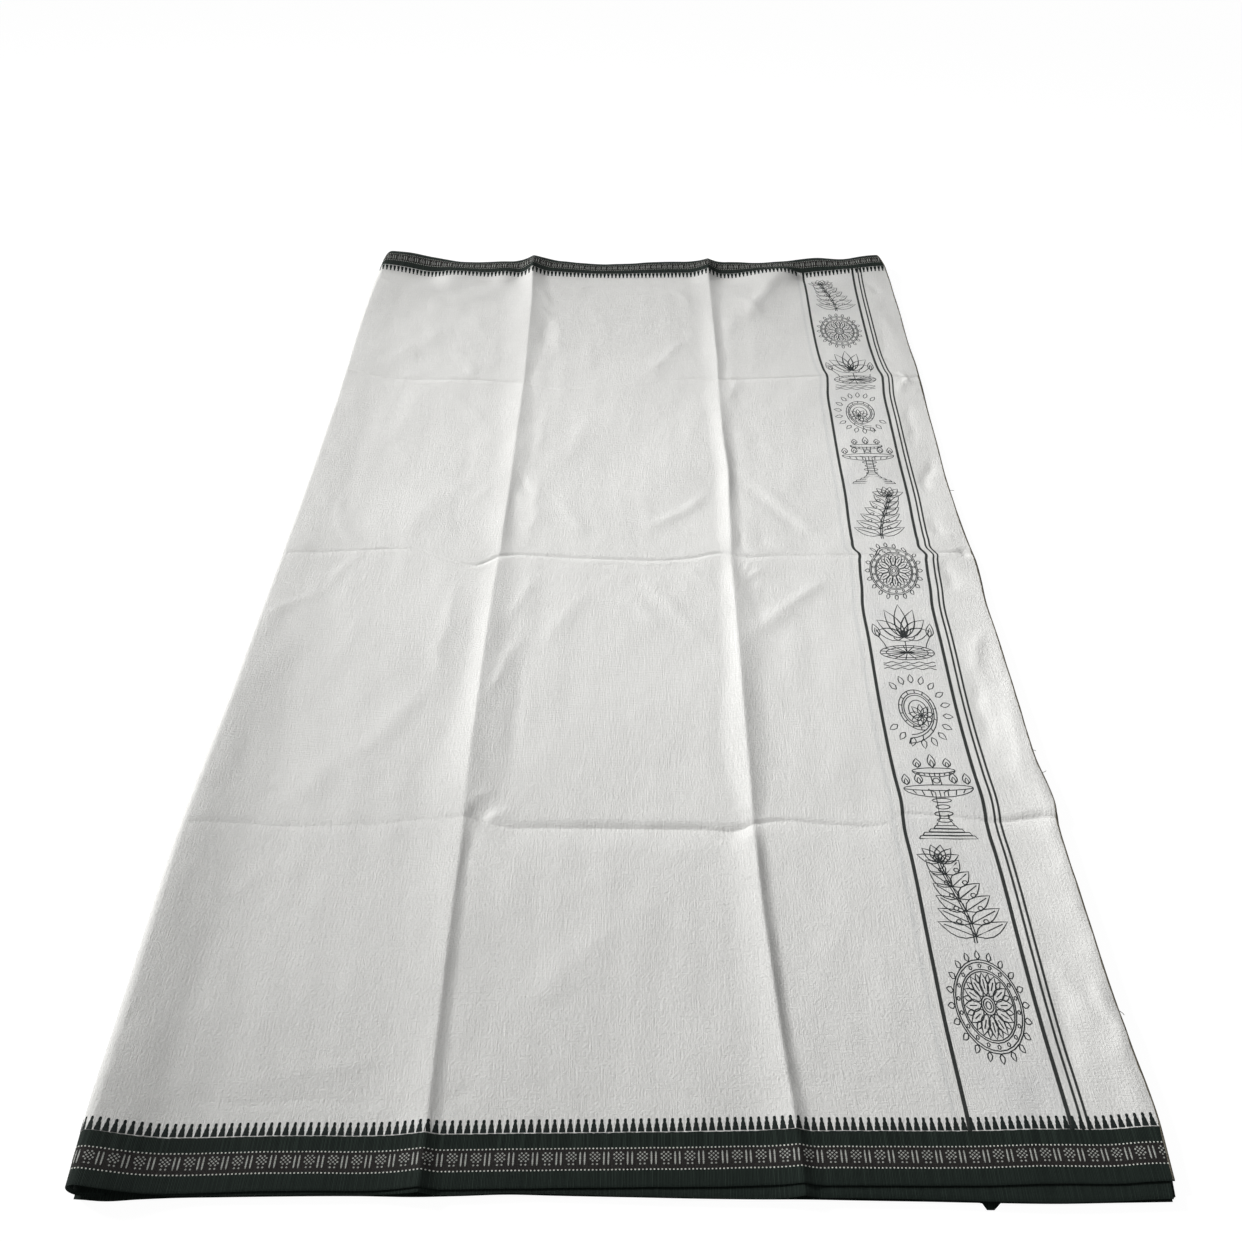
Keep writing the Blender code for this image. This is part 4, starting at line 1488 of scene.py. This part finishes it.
@dataclass
class Figures:
    """The woven figures of one border: temple teeth, dotted lines, bars and lattice flowers."""

    side: Selvedge
    border: Border = field(default_factory=Border)
    lift: float = 0.10 * MM
    margin: float = 0.9 * MM
    start: float = -0.3475
    end: float = 0.3400

    def conform(self, piece: bpy.types.Object) -> None:
        """Lays a flat piece on the border. Its y is the distance from the selvedge, its z the thickness."""
        points = mesh_points(piece)
        y = KaraBand(self.side).y(points[:, 0], points[:, 1])
        move_points(piece, FORM.place(points[:, 0], y, points[:, 2] + self.lift))
        if self.side is Selvedge.FAR:
            piece.data.flip_normals()
        make_smooth(piece)

    def repeated(self, piece: bpy.types.Object, pitch: float) -> None:
        """Repeats a piece along the border with an Array modifier, applied."""
        choose(piece)
        array = piece.modifiers.new("repeat", "ARRAY")
        array.count = int((self.end - self.start) / pitch) + 1
        array.use_relative_offset = False
        array.use_constant_offset = True
        array.constant_offset_displace = (pitch, 0, 0)
        array.merge_threshold = 0.00001
        bpy.ops.object.modifier_apply(modifier=array.name)

    def trimmed(self, piece: bpy.types.Object, inward: float) -> None:
        """Cuts a row of figures off at the cloth's end, at its distance from the selvedge."""
        end = FORM.section(KaraBand(self.side).y(self.end, inward), "ends") - self.margin
        choose(piece)
        bpy.ops.object.mode_set(mode="EDIT")
        bpy.ops.mesh.select_all(action="SELECT")
        bpy.ops.mesh.bisect(plane_co=(end, 0, 0), plane_no=(1, 0, 0), clear_outer=True)
        bpy.ops.object.mode_set(mode="OBJECT")

    def thread(self, middle: tuple, size: tuple, steps: int) -> bpy.types.Object:
        """A short raised thread: a narrow grid with a crowned middle line.

        Args:
            middle: its middle, along and inwards.
            size: its width and length.
            steps: the steps along its length.

        Returns:
            The thread, flat at its place.
        """
        deselect()
        bpy.ops.mesh.primitive_grid_add(x_subdivisions=2, y_subdivisions=steps, size=2)
        piece = new_piece("thread")
        points = mesh_points(piece)
        taper = np.sqrt(np.maximum(1 - (points[:, 1] * 0.92) ** 4, 0.05))
        beads = 1 + 0.18 * np.cos(points[:, 1] * size[1] / (1.3 * MM) * math.pi)
        x = middle[0] + points[:, 0] * taper * beads * size[0] / 2
        y = middle[1] + points[:, 1] * size[1] / 2
        move_points(piece, np.column_stack((x, y, (1 - np.abs(points[:, 0])) * 0.13 * MM)))
        return piece

    def joined(self, pieces: list[bpy.types.Object], name: str) -> bpy.types.Object:
        """Joins pieces into one."""
        choose(*pieces)
        bpy.ops.object.join()
        return new_piece(name)

    def teeth(self) -> bpy.types.Object:
        """The row of temple teeth: tiered spikes that point into the ground."""
        tiers = len(self.border.tooth_half_widths) - 1
        deselect()
        bpy.ops.mesh.primitive_grid_add(x_subdivisions=2, y_subdivisions=tiers, size=2)
        piece = new_piece(f"teeth_{self.side.value}")
        points = mesh_points(piece)
        row = np.rint((points[:, 1] + 1) / 2 * tiers).astype(int)
        width = np.array(self.border.tooth_half_widths)[row] * MM
        y = self.border.tooth_start + (points[:, 1] + 1) / 2 * self.border.tooth_height
        crown = (1 - np.abs(points[:, 0])) * 0.12 * MM
        move_points(piece, np.column_stack((self.start + points[:, 0] * width, y, crown)))
        self.repeated(piece, self.border.tooth_pitch)
        self.trimmed(piece, self.border.tooth_start)
        self.conform(piece)
        dress(piece, TOOTH_THREAD.material())
        return piece

    def dots(self) -> bpy.types.Object:
        """The two dotted lines along the figured strip."""
        rows = []
        for index, inward in enumerate((self.border.dots_outer, self.border.dots_inner)):
            deselect()
            bpy.ops.mesh.primitive_circle_add(vertices=7, radius=0.49 * MM, fill_type="TRIFAN")
            dot = new_piece(f"dots_{index}")
            points = mesh_points(dot)
            crown = np.where(np.hypot(points[:, 0], points[:, 1]) < 0.1 * MM, 0.18 * MM, 0.0)
            x, y = self.start + points[:, 0] * 1.15, inward + points[:, 1]
            move_points(dot, np.column_stack((x, y, crown)))
            self.repeated(dot, self.border.dot_pitch)
            rows.append(dot)
        piece = self.joined(rows, f"dots_{self.side.value}")
        self.trimmed(piece, self.border.strip_middle)
        self.conform(piece)
        dress(piece, DOT_THREAD.material())
        return piece

    def strip(self) -> bpy.types.Object:
        """The figured strip: a chequered flower on two dots, and two bars, repeated."""
        middle = self.border.strip_middle + 0.4 * MM
        flower, bars = self.start + 10.4 * MM, self.start + 2.7 * MM
        spot, step, rise = (1.2 * MM, 1.05 * MM), 1.36 * MM, 1.22 * MM
        threads = []
        for row in range(-2, 3):
            for column in range(-2, 3):
                if (row + column) % 2:
                    place = (flower + column * step, middle + 1.1 * MM + row * rise)
                    threads.append(self.thread(place, spot, 2))
        for side in (-1, 1):
            threads.append(self.thread((flower + side * step, middle - 3.5 * MM), spot, 2))
            place = (bars + side * 1.38 * MM, middle)
            threads.append(self.thread(place, (1.0 * MM, self.border.figure_height), 12))
        piece = self.joined(threads, f"strip_{self.side.value}")
        self.repeated(piece, self.border.repeat)
        self.trimmed(piece, self.border.strip_middle)
        self.conform(piece)
        dress(piece, PALE_THREAD.material())
        return piece

    def build(self) -> list[bpy.types.Object]:
        """Makes all the figures of this border."""
        return [self.teeth(), self.dots(), self.strip()]


Stroke = list[tuple[float, float]]


def arc(middle: tuple, radii: tuple, start: float = 0, end: float = 360, points: int = 9) -> Stroke:
    """Points along part of an ellipse, or all of it, its angles in degrees."""
    turns = np.radians(np.linspace(start, end, points))
    return [(middle[0] + radii[0] * math.cos(t), middle[1] + radii[1] * math.sin(t)) for t in turns]


def ring(middle: tuple, radius: float, points: int = 9) -> Stroke:
    """A whole circle."""
    return arc(middle, (radius, radius), points=points)


def round_about(radius: float, turn: float) -> tuple[float, float]:
    """The point at a distance from the middle, its turn in degrees from straight up."""
    return radius * math.sin(math.radians(turn)), radius * math.cos(math.radians(turn))


def petal(root: tuple, turn: float, length: float, width: float, points: int = 6) -> Stroke:
    """The outline of a pointed petal that grows from its root, its turn in degrees from straight up."""
    shares = np.linspace(0, 1, points)
    out = [(width / 2 * math.sin(math.pi * s**0.8), length * s) for s in shares]
    back = [(-x, y) for x, y in reversed(out[:-1])]
    angle = math.radians(turn)
    side, up = math.cos(angle), math.sin(angle)
    return [(root[0] + x * side + y * up, root[1] - x * up + y * side) for x, y in out + back]


def rosette() -> list[Stroke]:
    """A round medallion: a flower with two rows of petals in a beaded rim."""
    strokes = [ring((0, 0), radius, 29) for radius in (17.6, 18.8, 22.6, 24.0)]
    strokes += [ring((0, 0), 2.0, 9), ring((0, 0), 3.6, 13), ring((0, 0), 5.0, 15)]
    for turn in range(0, 360, 30):
        strokes.append(petal(round_about(5, turn), turn, 12, 6.2))
        strokes.append([round_about(8.5, turn), round_about(13.5, turn)])
        strokes.append(petal(round_about(11, turn + 15), turn + 15, 6, 3.0, 4))
    strokes += [ring(round_about(20.7, turn), 1.1, 6) for turn in range(0, 360, 20)]
    strokes += [petal(round_about(24, turn), turn, 5, 3.4, 4) for turn in range(0, 360, 18)]
    return strokes


def paisley() -> list[Stroke]:
    """A curled drop with ticked double lines, a flower inside, leaves and beads outside."""

    def drop(scale: float) -> Stroke:
        """The curled drop's outline at a scale."""
        points = []
        for share in np.linspace(0, 1, 30):
            turn = math.radians(-100 + 380 * share)
            reach = scale * (13 + 9 * share**3)
            lean = 6 * share**2 * scale
            points.append((reach * math.cos(turn) * 0.78 + lean, reach * math.sin(turn) * 0.9 - 4))
        return points

    outer, inner = drop(1.0), drop(0.84)
    strokes = [outer, inner, drop(0.74), drop(0.50)]
    strokes += [[first, second] for first, second in zip(outer[1::2], inner[1::2])]
    strokes += [petal((-1, -7), turn, 7, 3.4, 5) for turn in range(0, 360, 40)]
    strokes += [ring((-1, -7), 1.6), ring((-1, -7), 0.7, 6)]
    for turn in range(120, 420, 20):
        root = (round_about(17.0, turn)[0] * 0.82 + 1, round_about(17.0, turn)[1] - 4)
        strokes.append(petal(root, turn, 5.5, 3.0, 4))
    return strokes


def spray() -> list[Stroke]:
    """A curved stem with paired veined leaves, buds between them and a flower at its tip."""
    stem = [(4 * math.sin(y / 14), y) for y in np.linspace(-24, 14, 14)]
    strokes = [stem, [(x + 0.9, y) for x, y in stem]]
    strokes += [petal(stem[-1], turn, 9, 4.4) for turn in (-64, -38, -12, 12, 38, 64)]
    strokes.append(ring((stem[-1][0], stem[-1][1] + 2), 2.2))
    for index in range(1, 13, 2):
        root, size = stem[index], 15 - index * 0.5
        for side in (-1, 1):
            turn = side * (64 - index * 2)
            strokes.append(petal(root, turn, size, 6.4))
            reach = round_about(size * 0.85, turn)
            strokes.append([root, (root[0] + reach[0], root[1] + reach[1])])
            bud = round_about(8.5, turn - side * 26)
            strokes.append(ring((root[0] + bud[0], root[1] + bud[1]), 1.0, 7))
    return strokes


def lamp() -> list[Stroke]:
    """A standing oil lamp: a stepped foot, a beaded stem, two bowls and their flames."""
    strokes = []
    for low, half in ((-26, 13), (-24, 11), (-22, 8), (-20, 5.5)):
        high = low + 1.7
        strokes.append([(-half, low), (half, low), (half - 1, high), (1 - half, high), (-half, low)])
    strokes += [[(side * x, y) for x, y in ((4, -18), (2, -14), (2, 2), (5, 4))] for side in (-1, 1)]
    for y, reach in ((-15, 3.4), (-11, 4.2), (-7, 3.2), (-3, 4.4)):
        strokes.append(arc((0, y), (reach, 1.3), points=13))
    for height, reach, deep in ((5, 16, 6), (16, 10, 4)):
        strokes.append(arc((0, height), (reach, deep), 180, points=15))
        strokes.append(arc((0, height), (reach, 1.8), points=19))
        for share in np.linspace(-0.75, 0.75, 7):
            low = height - deep * math.sqrt(1 - share**2)
            strokes.append([(reach * share, height - 1.4), (reach * share * 0.9, low + 0.4)])
    strokes += [[(-2, 7), (-2, 12)], [(2, 7), (2, 12)], ring((0, 9.5), 1.6)]
    flames = ((-14, 7, 7), (-8, 7.5, 7), (8, 7.5, 7), (14, 7, 7), (-7, 18, 6), (0, 18, 9), (7, 18, 6))
    for x, y, size in flames:
        strokes += [petal((x, y), 0, size, 3.6), petal((x, y), 0, size * 0.6, 1.8, 4)]
    return strokes


def lotus() -> list[Stroke]:
    """A lotus seen from the side, two buds, a round leaf and the lines of the water."""
    root, leaf, rim = (0, -4), (0, -15), (18, 5)
    strokes = [petal(root, turn, 24 - abs(turn) * 0.07, 9) for turn in (-76, -52, -26, 0, 26, 52, 76)]
    strokes += [petal(root, turn, 15, 5) for turn in (-64, -39, -13, 13, 39, 64)]
    strokes += [petal(root, turn, 8, 3) for turn in (-45, -20, 0, 20, 45)]
    strokes += [arc(root, (7, 3), 180), arc(leaf, rim, points=25), arc(leaf, (14, 3.6), points=21)]
    strokes.append([(0, -7), leaf])
    strokes += [[leaf, arc(leaf, rim, turn, turn, 1)[0]] for turn in range(0, 360, 24)]
    for side in (-1, 1):
        bud = (side * 17, -4)
        strokes += [petal(bud, side * 14, 10, 5), petal(bud, side * 14, 7, 2.4, 4)]
        strokes.append([bud, (side * 14, -9), (side * 13, -12)])
    for height in (-22, -24, -26):
        strokes.append([(x, height + 0.6 * math.sin(x * 0.7 + height)) for x in np.linspace(-17, 17, 21)])
    return strokes


def fitted(strokes: list[Stroke], size: tuple[float, float]) -> list[Stroke]:
    """A drawing moved and scaled so that it fills a box about the middle."""
    points = np.array([point for stroke in strokes for point in stroke])
    low, high = points.min(axis=0), points.max(axis=0)
    scale, middle = np.array(size) / (high - low), (low + high) / 2
    return [[tuple((np.array(point) - middle) * scale) for point in stroke] for stroke in strokes]


MOTIF_STROKES = {
    Motif.ROSETTE: rosette,
    Motif.PAISLEY: paisley,
    Motif.SPRAY: spray,
    Motif.LAMP: lamp,
    Motif.LOTUS: lotus,
}


@dataclass
class PrintedBand:
    """The column of line drawings between the stripes, all of them generic."""

    middle: float = 0.2463
    first_y: float = 0.124
    pitch: float = 92.0 * MM
    count: int = 12
    size: tuple = (55 * MM, 86 * MM)
    line: float = 0.44 * MM
    flat: float = 0.22
    lift: float = 0.06 * MM
    order: tuple = (Motif.ROSETTE, Motif.SPRAY, Motif.LAMP, Motif.PAISLEY, Motif.LOTUS)

    def stroke_places(self) -> list[list[tuple]]:
        """Every stroke of the band, as points along the cloth without its drift, y and no height."""
        places = []
        for index in range(self.count):
            middle_y = self.first_y + index * self.pitch
            flip = -1 if index % 2 else 1
            for stroke in fitted(MOTIF_STROKES[self.order[index % len(self.order)]](), self.size):
                places.append([(self.middle + flip * x, middle_y + y, 0.0) for x, y in stroke])
        return places

    def build(self) -> bpy.types.Object:
        """Draws the strokes as fine flattened lines on the ground."""
        piece = fine_tubes("printed_band", self.stroke_places(), self.line, 0)
        points = mesh_points(piece)
        u = points[:, 0] + FORM.drift(points[:, 1])
        move_points(piece, FORM.place(u, points[:, 1], points[:, 2] * self.flat + self.lift))
        make_smooth(piece, 50)
        dress(piece, PRINT_INK.material())
        return piece


@dataclass
class CutEnd:
    """The cut end of the top layer: a dark line of painted shadow along it, and a few loose threads.

    The line runs over the offsets from the end at their lifts. A loose thread is y, length (mm) and turn.
    """

    rows: int = 460
    offsets: tuple = (-1.05 * MM, -0.6 * MM, 0.05 * MM, 0.5 * MM)
    lifts: tuple = (0.04 * MM, 0.22 * MM, 0.16 * MM, -0.5 * MM)
    loose: tuple = ((0.713, 5.5, 35), (0.328, 6.0, 50), (0.352, 3.5, 20), (0.118, 4.0, -20))
    thickness: float = 0.22 * MM

    def line(self) -> bpy.types.Object:
        """The dark line of painted shadow, laid along the end with uneven width."""
        offsets, lifts = np.array(self.offsets), np.array(self.lifts)

        def at(column: np.ndarray, row: np.ndarray) -> tuple[np.ndarray, np.ndarray]:
            """Where grid lines and rows lie."""
            end = FORM.section(MIDDLE_Y, "ends")
            y = FORM.near(end, "top_y") + 0.5 * MM
            y = y + (FORM.far(end, "y") - 0.5 * MM - y) * row / self.rows
            uneven = 1 + 0.14 * np.sin(y * 97) + 0.12 * np.sin(y * 411 + 1)
            return FORM.section(y, "ends") + offsets[column] * np.where(column == 0, uneven, 1), y

        def place(column: np.ndarray, row: np.ndarray) -> np.ndarray:
            """The points of grid lines and rows."""
            u, y = at(column, row)
            return FORM.place(u, y, lifts[column])

        def uv(column: np.ndarray, row: np.ndarray) -> np.ndarray:
            """The map of grid lines and rows."""
            return np.column_stack(at(column, row))

        return laid_sheet("cut_end_shadow_line", len(offsets), self.rows + 1, place, uv)

    def threads(self) -> bpy.types.Object:
        """The loose threads, as fine bent tubes that droop past the end."""
        strokes = []
        for y, length, turn in self.loose:
            start = FORM.section(y, "ends") - 1.0 * MM
            angle = math.radians(turn)
            shares = np.linspace(0, 1, 6)
            u = start + (length + 1.0) * MM * shares * math.cos(angle * 0.7)
            across = y + length * MM * shares**1.6 * math.sin(angle)
            strokes.append(FORM.place(u, across, (0.2 - 2.2 * shares**2) * MM))
        piece = fine_tubes("loose_threads", strokes, self.thickness, 1)
        make_smooth(piece)
        return piece

    def build(self) -> list[bpy.types.Object]:
        """Makes the painted shadow line and the loose threads."""
        pieces = [self.line(), self.threads()]
        for piece in pieces:
            # On the line this dark colour is painted shadow; the loose threads keep it as their own colour.
            dress(piece, END_SHADOW_AND_THREAD.material())
        return pieces


@dataclass
class UnderKara:
    """The near border of the layer below the top one, which shows as a strip along the near edge."""

    width: float = 34 * MM
    drop: float = 1.35 * MM
    end_in: float = 0.6 * MM
    end_power: int = 6
    phase: float = 6 * MM
    steps: int = 12

    def build(self) -> bpy.types.Object:
        inward, drop = RIM.rows(self.width, self.steps)
        nominal = LINES.nominal()

        def place(column: np.ndarray, row: np.ndarray) -> np.ndarray:
            """The points of grid lines and rows."""
            y = FORM.near(nominal[column], "under_y") + inward[row]
            u = LINES.u(column, y)
            stretch, nearing = LINES.stretch[column], LINES.share[column] ** self.end_power
            by_end = np.select([stretch == 3, stretch == 2], [1.0, nearing], 0.0)
            u = u - by_end * (self.end_in + FORM.corner_in(y))
            return FORM.place(u, y, np.minimum(LINES.drop[column], drop[row]) - self.drop)

        def uv(column: np.ndarray, row: np.ndarray) -> np.ndarray:
            """The map of grid lines and rows."""
            y = FORM.near(nominal[column], "under_y") + inward[row]
            return np.column_stack((LINES.u(column, y) - self.phase, inward[row]))

        piece = laid_sheet("under_kara_sheet", LINES.count, len(inward), place, uv)
        dress(piece, KaraCotton(Selvedge.NEAR).material())
        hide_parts("under_kara_near")
        flat = (LINES.width(), self.width)
        return piece


@dataclass
class HiddenLayers:
    """The folded layers below: two nested sheets that turn at the fold, and the lowest one."""

    loom_width: float = 1.232
    nested_length: float = 1.345
    lowest_length: float = 0.668
    dark_far: float = 1.195
    dark_near: float = 36 * MM
    top_gap: float = 0.9 * MM
    nested_pitch: float = 11.0 * MM
    lowest_pitch: float = 2.2 * MM
    columns: int = 60
    rows: int = 110
    fold_steps: int = 12
    lowest_columns: int = 300
    lowest_rows: int = 44
    lowest_reach: float = 0.70
    tab_x: float = 0.2155
    tab_width: float = 11 * MM
    tab_out: float = 4.2 * MM

    def guess(self, share: Values) -> Values:
        """About the x of a share of the way from the fold to the cut ends, for the edges' tables."""
        return -0.33 + 0.66 * share

    def cotton(self, name: str) -> bpy.types.Material:
        """The cotton of one of these layers."""
        return LayerCotton(name, self.dark_far, self.dark_near).material()

    def nested(self, name: str, upper: float, near_in: float, end_in: float, seed: int) -> bpy.types.Object:
        """A sheet that lies at one level, turns at the fold, and comes back at the mirrored level.

        Args:
            name: the piece's name.
            upper: its upper level, as a share of the stack's height.
            near_in: how far its selvedges lie inside the layer above.
            end_in: how far its cut end lies inside that layer's.
            seed: the seed of its edges' unevenness.

        Returns:
            The sheet.
        """
        chance = np.random.default_rng(seed)
        phases = chance.uniform(0, 6, 4)
        count = 2 * self.columns + self.fold_steps + 1

        def at(column: np.ndarray, row: np.ndarray) -> tuple[np.ndarray, np.ndarray, np.ndarray]:
            """Where grid lines and rows lie."""
            share_y = row / self.rows
            lower = column < self.columns
            on_fold = (column >= self.columns) & (column <= self.columns + self.fold_steps)
            upper_share = (column - self.columns - self.fold_steps) / self.columns
            share = np.clip(np.where(lower, 1 - column / self.columns, upper_share), 0, 1)
            guess = self.guess(share)
            uneven = np.sin(guess * 21 + phases[0]) * 0.5 + np.sin(guess * 47 + phases[1]) * 0.35
            near = FORM.near(guess, "under_y") + near_in + uneven * MM + np.where(lower, 0.8 * MM, 0.0)
            far = FORM.far(guess, "y") - 0.4 * MM - uneven * MM * 0.8 + np.where(lower, 0.9 * MM, 0.0)
            y = near + (far - near) * share_y
            start = FORM.top_start(y)
            end_uneven = np.sin(y * 17 + phases[2]) * 0.6 + np.sin(y * 39 + phases[3]) * 0.4
            ends = FORM.section(y, "ends") - FORM.corner_in(y) - end_in + end_uneven * MM
            ends = ends + np.where(lower, 1.0 * MM, 0.0)
            x = start + (ends - start) * share
            top = FORM.top(x, y)
            level = np.where(lower, 1 - upper, upper)
            z = FORM.floor_gap + (top - self.top_gap) * level
            stack = FORM.top(start, y) - self.top_gap
            radius = stack * (upper - 0.5)
            turned = -math.pi / 2 + math.pi * (column - self.columns) / self.fold_steps
            middle = FORM.floor_gap + stack * 0.5
            x = np.where(on_fold, start - radius * np.cos(turned), x)
            z = np.where(on_fold, middle + radius * np.sin(turned), z)
            return x, y, z

        def place(column: np.ndarray, row: np.ndarray) -> np.ndarray:
            """The points of grid lines and rows."""
            x, y, z = at(column, row)
            return np.column_stack((x - MIDDLE_X, y - MIDDLE_Y, z))

        def uv(column: np.ndarray, row: np.ndarray) -> np.ndarray:
            """The map of grid lines and rows."""
            _, y, _ = at(column, row)
            from_end = np.minimum(column, count - 1 - column) * self.nested_pitch
            return np.column_stack((from_end, y))

        piece = laid_sheet(name, count, self.rows + 1, place, uv)
        dress(piece, self.cotton(f"{name} cotton"))
        return piece

    def lowest(self) -> bpy.types.Object:
        """The lowest layer, flat on the surface."""

        def at(column: np.ndarray, row: np.ndarray) -> tuple[np.ndarray, np.ndarray]:
            """Where grid lines and rows lie."""
            guess = self.guess(column / self.lowest_columns)
            near = FORM.near(guess, "low_y") + 0.4 * MM * np.sin(guess * 31)
            past = np.clip((guess - self.tab_x) / (1.5 * MM), 0, 1)
            corner = past * np.clip((self.tab_x + self.tab_width - guess) / (4 * MM), 0, 1)
            near = near - self.tab_out * corner
            far = FORM.far(guess, "y") - 0.8 * MM
            y = near + (far - near) * row / self.lowest_rows
            start = FORM.top_start(y) - self.lowest_reach * FORM.fold_radius(y)
            ends = FORM.section(y, "ends") - FORM.corner_in(y) + (1.0 + 0.6 * np.sin(y * 23)) * MM
            return start + (ends - start) * column / self.lowest_columns, y

        def place(column: np.ndarray, row: np.ndarray) -> np.ndarray:
            """The points of grid lines and rows."""
            x, y = at(column, row)
            return np.column_stack((x - MIDDLE_X, y - MIDDLE_Y, np.full(len(x), FORM.floor_gap * 1.5)))

        def uv(column: np.ndarray, row: np.ndarray) -> np.ndarray:
            """The map of grid lines and rows."""
            _, y = at(column, row)
            return np.column_stack(((self.lowest_columns - column) * self.lowest_pitch, y))

        piece = laid_sheet("lowest_layer", self.lowest_columns + 1, self.lowest_rows + 1, place, uv)
        dress(piece, self.cotton("lowest layer cotton"))
        return piece

    def build(self) -> list[bpy.types.Object]:
        """Makes the sheets, which stand for the one solid."""
        outer = self.nested("inner_fold_outer", 0.76, 0.5 * MM, -0.9 * MM, 3)
        inner = self.nested("inner_fold_inner", 0.58, 1.4 * MM, -0.6 * MM, 5)
        lowest = self.lowest()
        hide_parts("folded_layers")
        return [outer, inner, lowest]


@dataclass(frozen=True)
class Studio:
    """The pale floor, the soft light and the camera."""

    frame_px: float = 1242.0
    focal_px: float = 1242.0
    horizon_drop: float = 42.04
    eye_x: float = 0.0136
    eye_y: float = -0.3259
    eye_z: float = 0.7625
    middle_px: float = 643.0
    sensor: float = 36.0
    lamp_turn: float = 65.0
    lamp_height: float = 28.0
    lamp_distance: float = 6.0
    lamp_aim: tuple = (0.32, -0.12, 0.0)
    lamp_power: float = 2690.0
    lamp_radius: float = 0.8
    lamp_cone: float = 24.0
    lamp_blend: float = 1.0
    sky: float = 0.27
    floor_glow: float = 1.12
    glow_share: float = 0.85

    def floor(self) -> bpy.types.Object:
        """A plain pale floor that stays nearly white in shadow."""
        deselect()
        bpy.ops.mesh.primitive_grid_add(x_subdivisions=4, y_subdivisions=4, size=24)
        piece = new_piece("floor")
        piece.location.z = -0.05 * MM
        paint = Paint("pale floor")
        glow = paint.node("ShaderNodeEmission", inputs={"Color": WHITE, "Strength": self.floor_glow})
        paint.finish((0.9, 0.9, 0.9, 1.0), 0.9, 0.0)
        shaders = {0: self.glow_share, 1: paint.shader.outputs[0], 2: glow.outputs[0]}
        both = paint.node("ShaderNodeMixShader", inputs=shaders)
        output = paint.tree.nodes["Material Output"]
        paint.tree.links.new(both.outputs[0], output.inputs["Surface"])
        piece.data.materials.append(paint.material)
        return piece

    def light(self) -> None:
        """One broad lamp low from the left and an even white sky."""
        lamp = bpy.data.lights.new("window", "SPOT")
        lamp.energy = self.lamp_power
        lamp.shadow_soft_size = self.lamp_radius
        lamp.spot_size = math.radians(self.lamp_cone)
        lamp.spot_blend = self.lamp_blend
        thing = bpy.data.objects.new("window", lamp)
        bpy.context.scene.collection.objects.link(thing)
        turn, height = math.radians(self.lamp_turn), math.radians(self.lamp_height)
        level = math.cos(height)
        towards = Vector((-math.sin(turn) * level, math.cos(turn) * level, math.sin(height)))
        thing.location = Vector(self.lamp_aim) + towards * self.lamp_distance
        thing.rotation_euler = towards.to_track_quat("Z", "Y").to_euler()
        world = bpy.data.worlds.new("sky")
        world.use_nodes = True
        background = world.node_tree.nodes["Background"]
        background.inputs["Color"].default_value = WHITE
        background.inputs["Strength"].default_value = self.sky
        bpy.context.scene.world = world
        bpy.context.scene.view_settings.view_transform = "Standard"

    def camera(self) -> None:
        """The camera at the photograph's angle."""
        lens = bpy.data.cameras.new("camera")
        lens.sensor_width = self.sensor
        lens.lens = self.sensor * self.focal_px / self.frame_px
        lens.shift_x = (self.frame_px / 2 - self.middle_px) / self.frame_px
        lens.clip_start = 0.01
        thing = bpy.data.objects.new("camera", lens)
        bpy.context.scene.collection.objects.link(thing)
        thing.location = (self.eye_x - MIDDLE_X, self.eye_y - MIDDLE_Y, self.eye_z)
        thing.rotation_euler = (math.radians(90 - self.horizon_drop), 0.0, 0.0)
        bpy.context.scene.camera = thing


def main() -> None:
    """Builds the studio and every piece of the cloth."""
    logging.basicConfig(level=logging.INFO, format="%(name)s: %(message)s")
    studio = Studio()
    studio.camera()
    studio.light()
    studio.floor()
    TopGround().build()
    for side in Selvedge:
        KaraBand(side).build()
        Figures(side).build()
    UnderKara().build()
    HiddenLayers().build()
    PrintedBand().build()
    CutEnd().build()


if __name__ == "__main__":
    main()
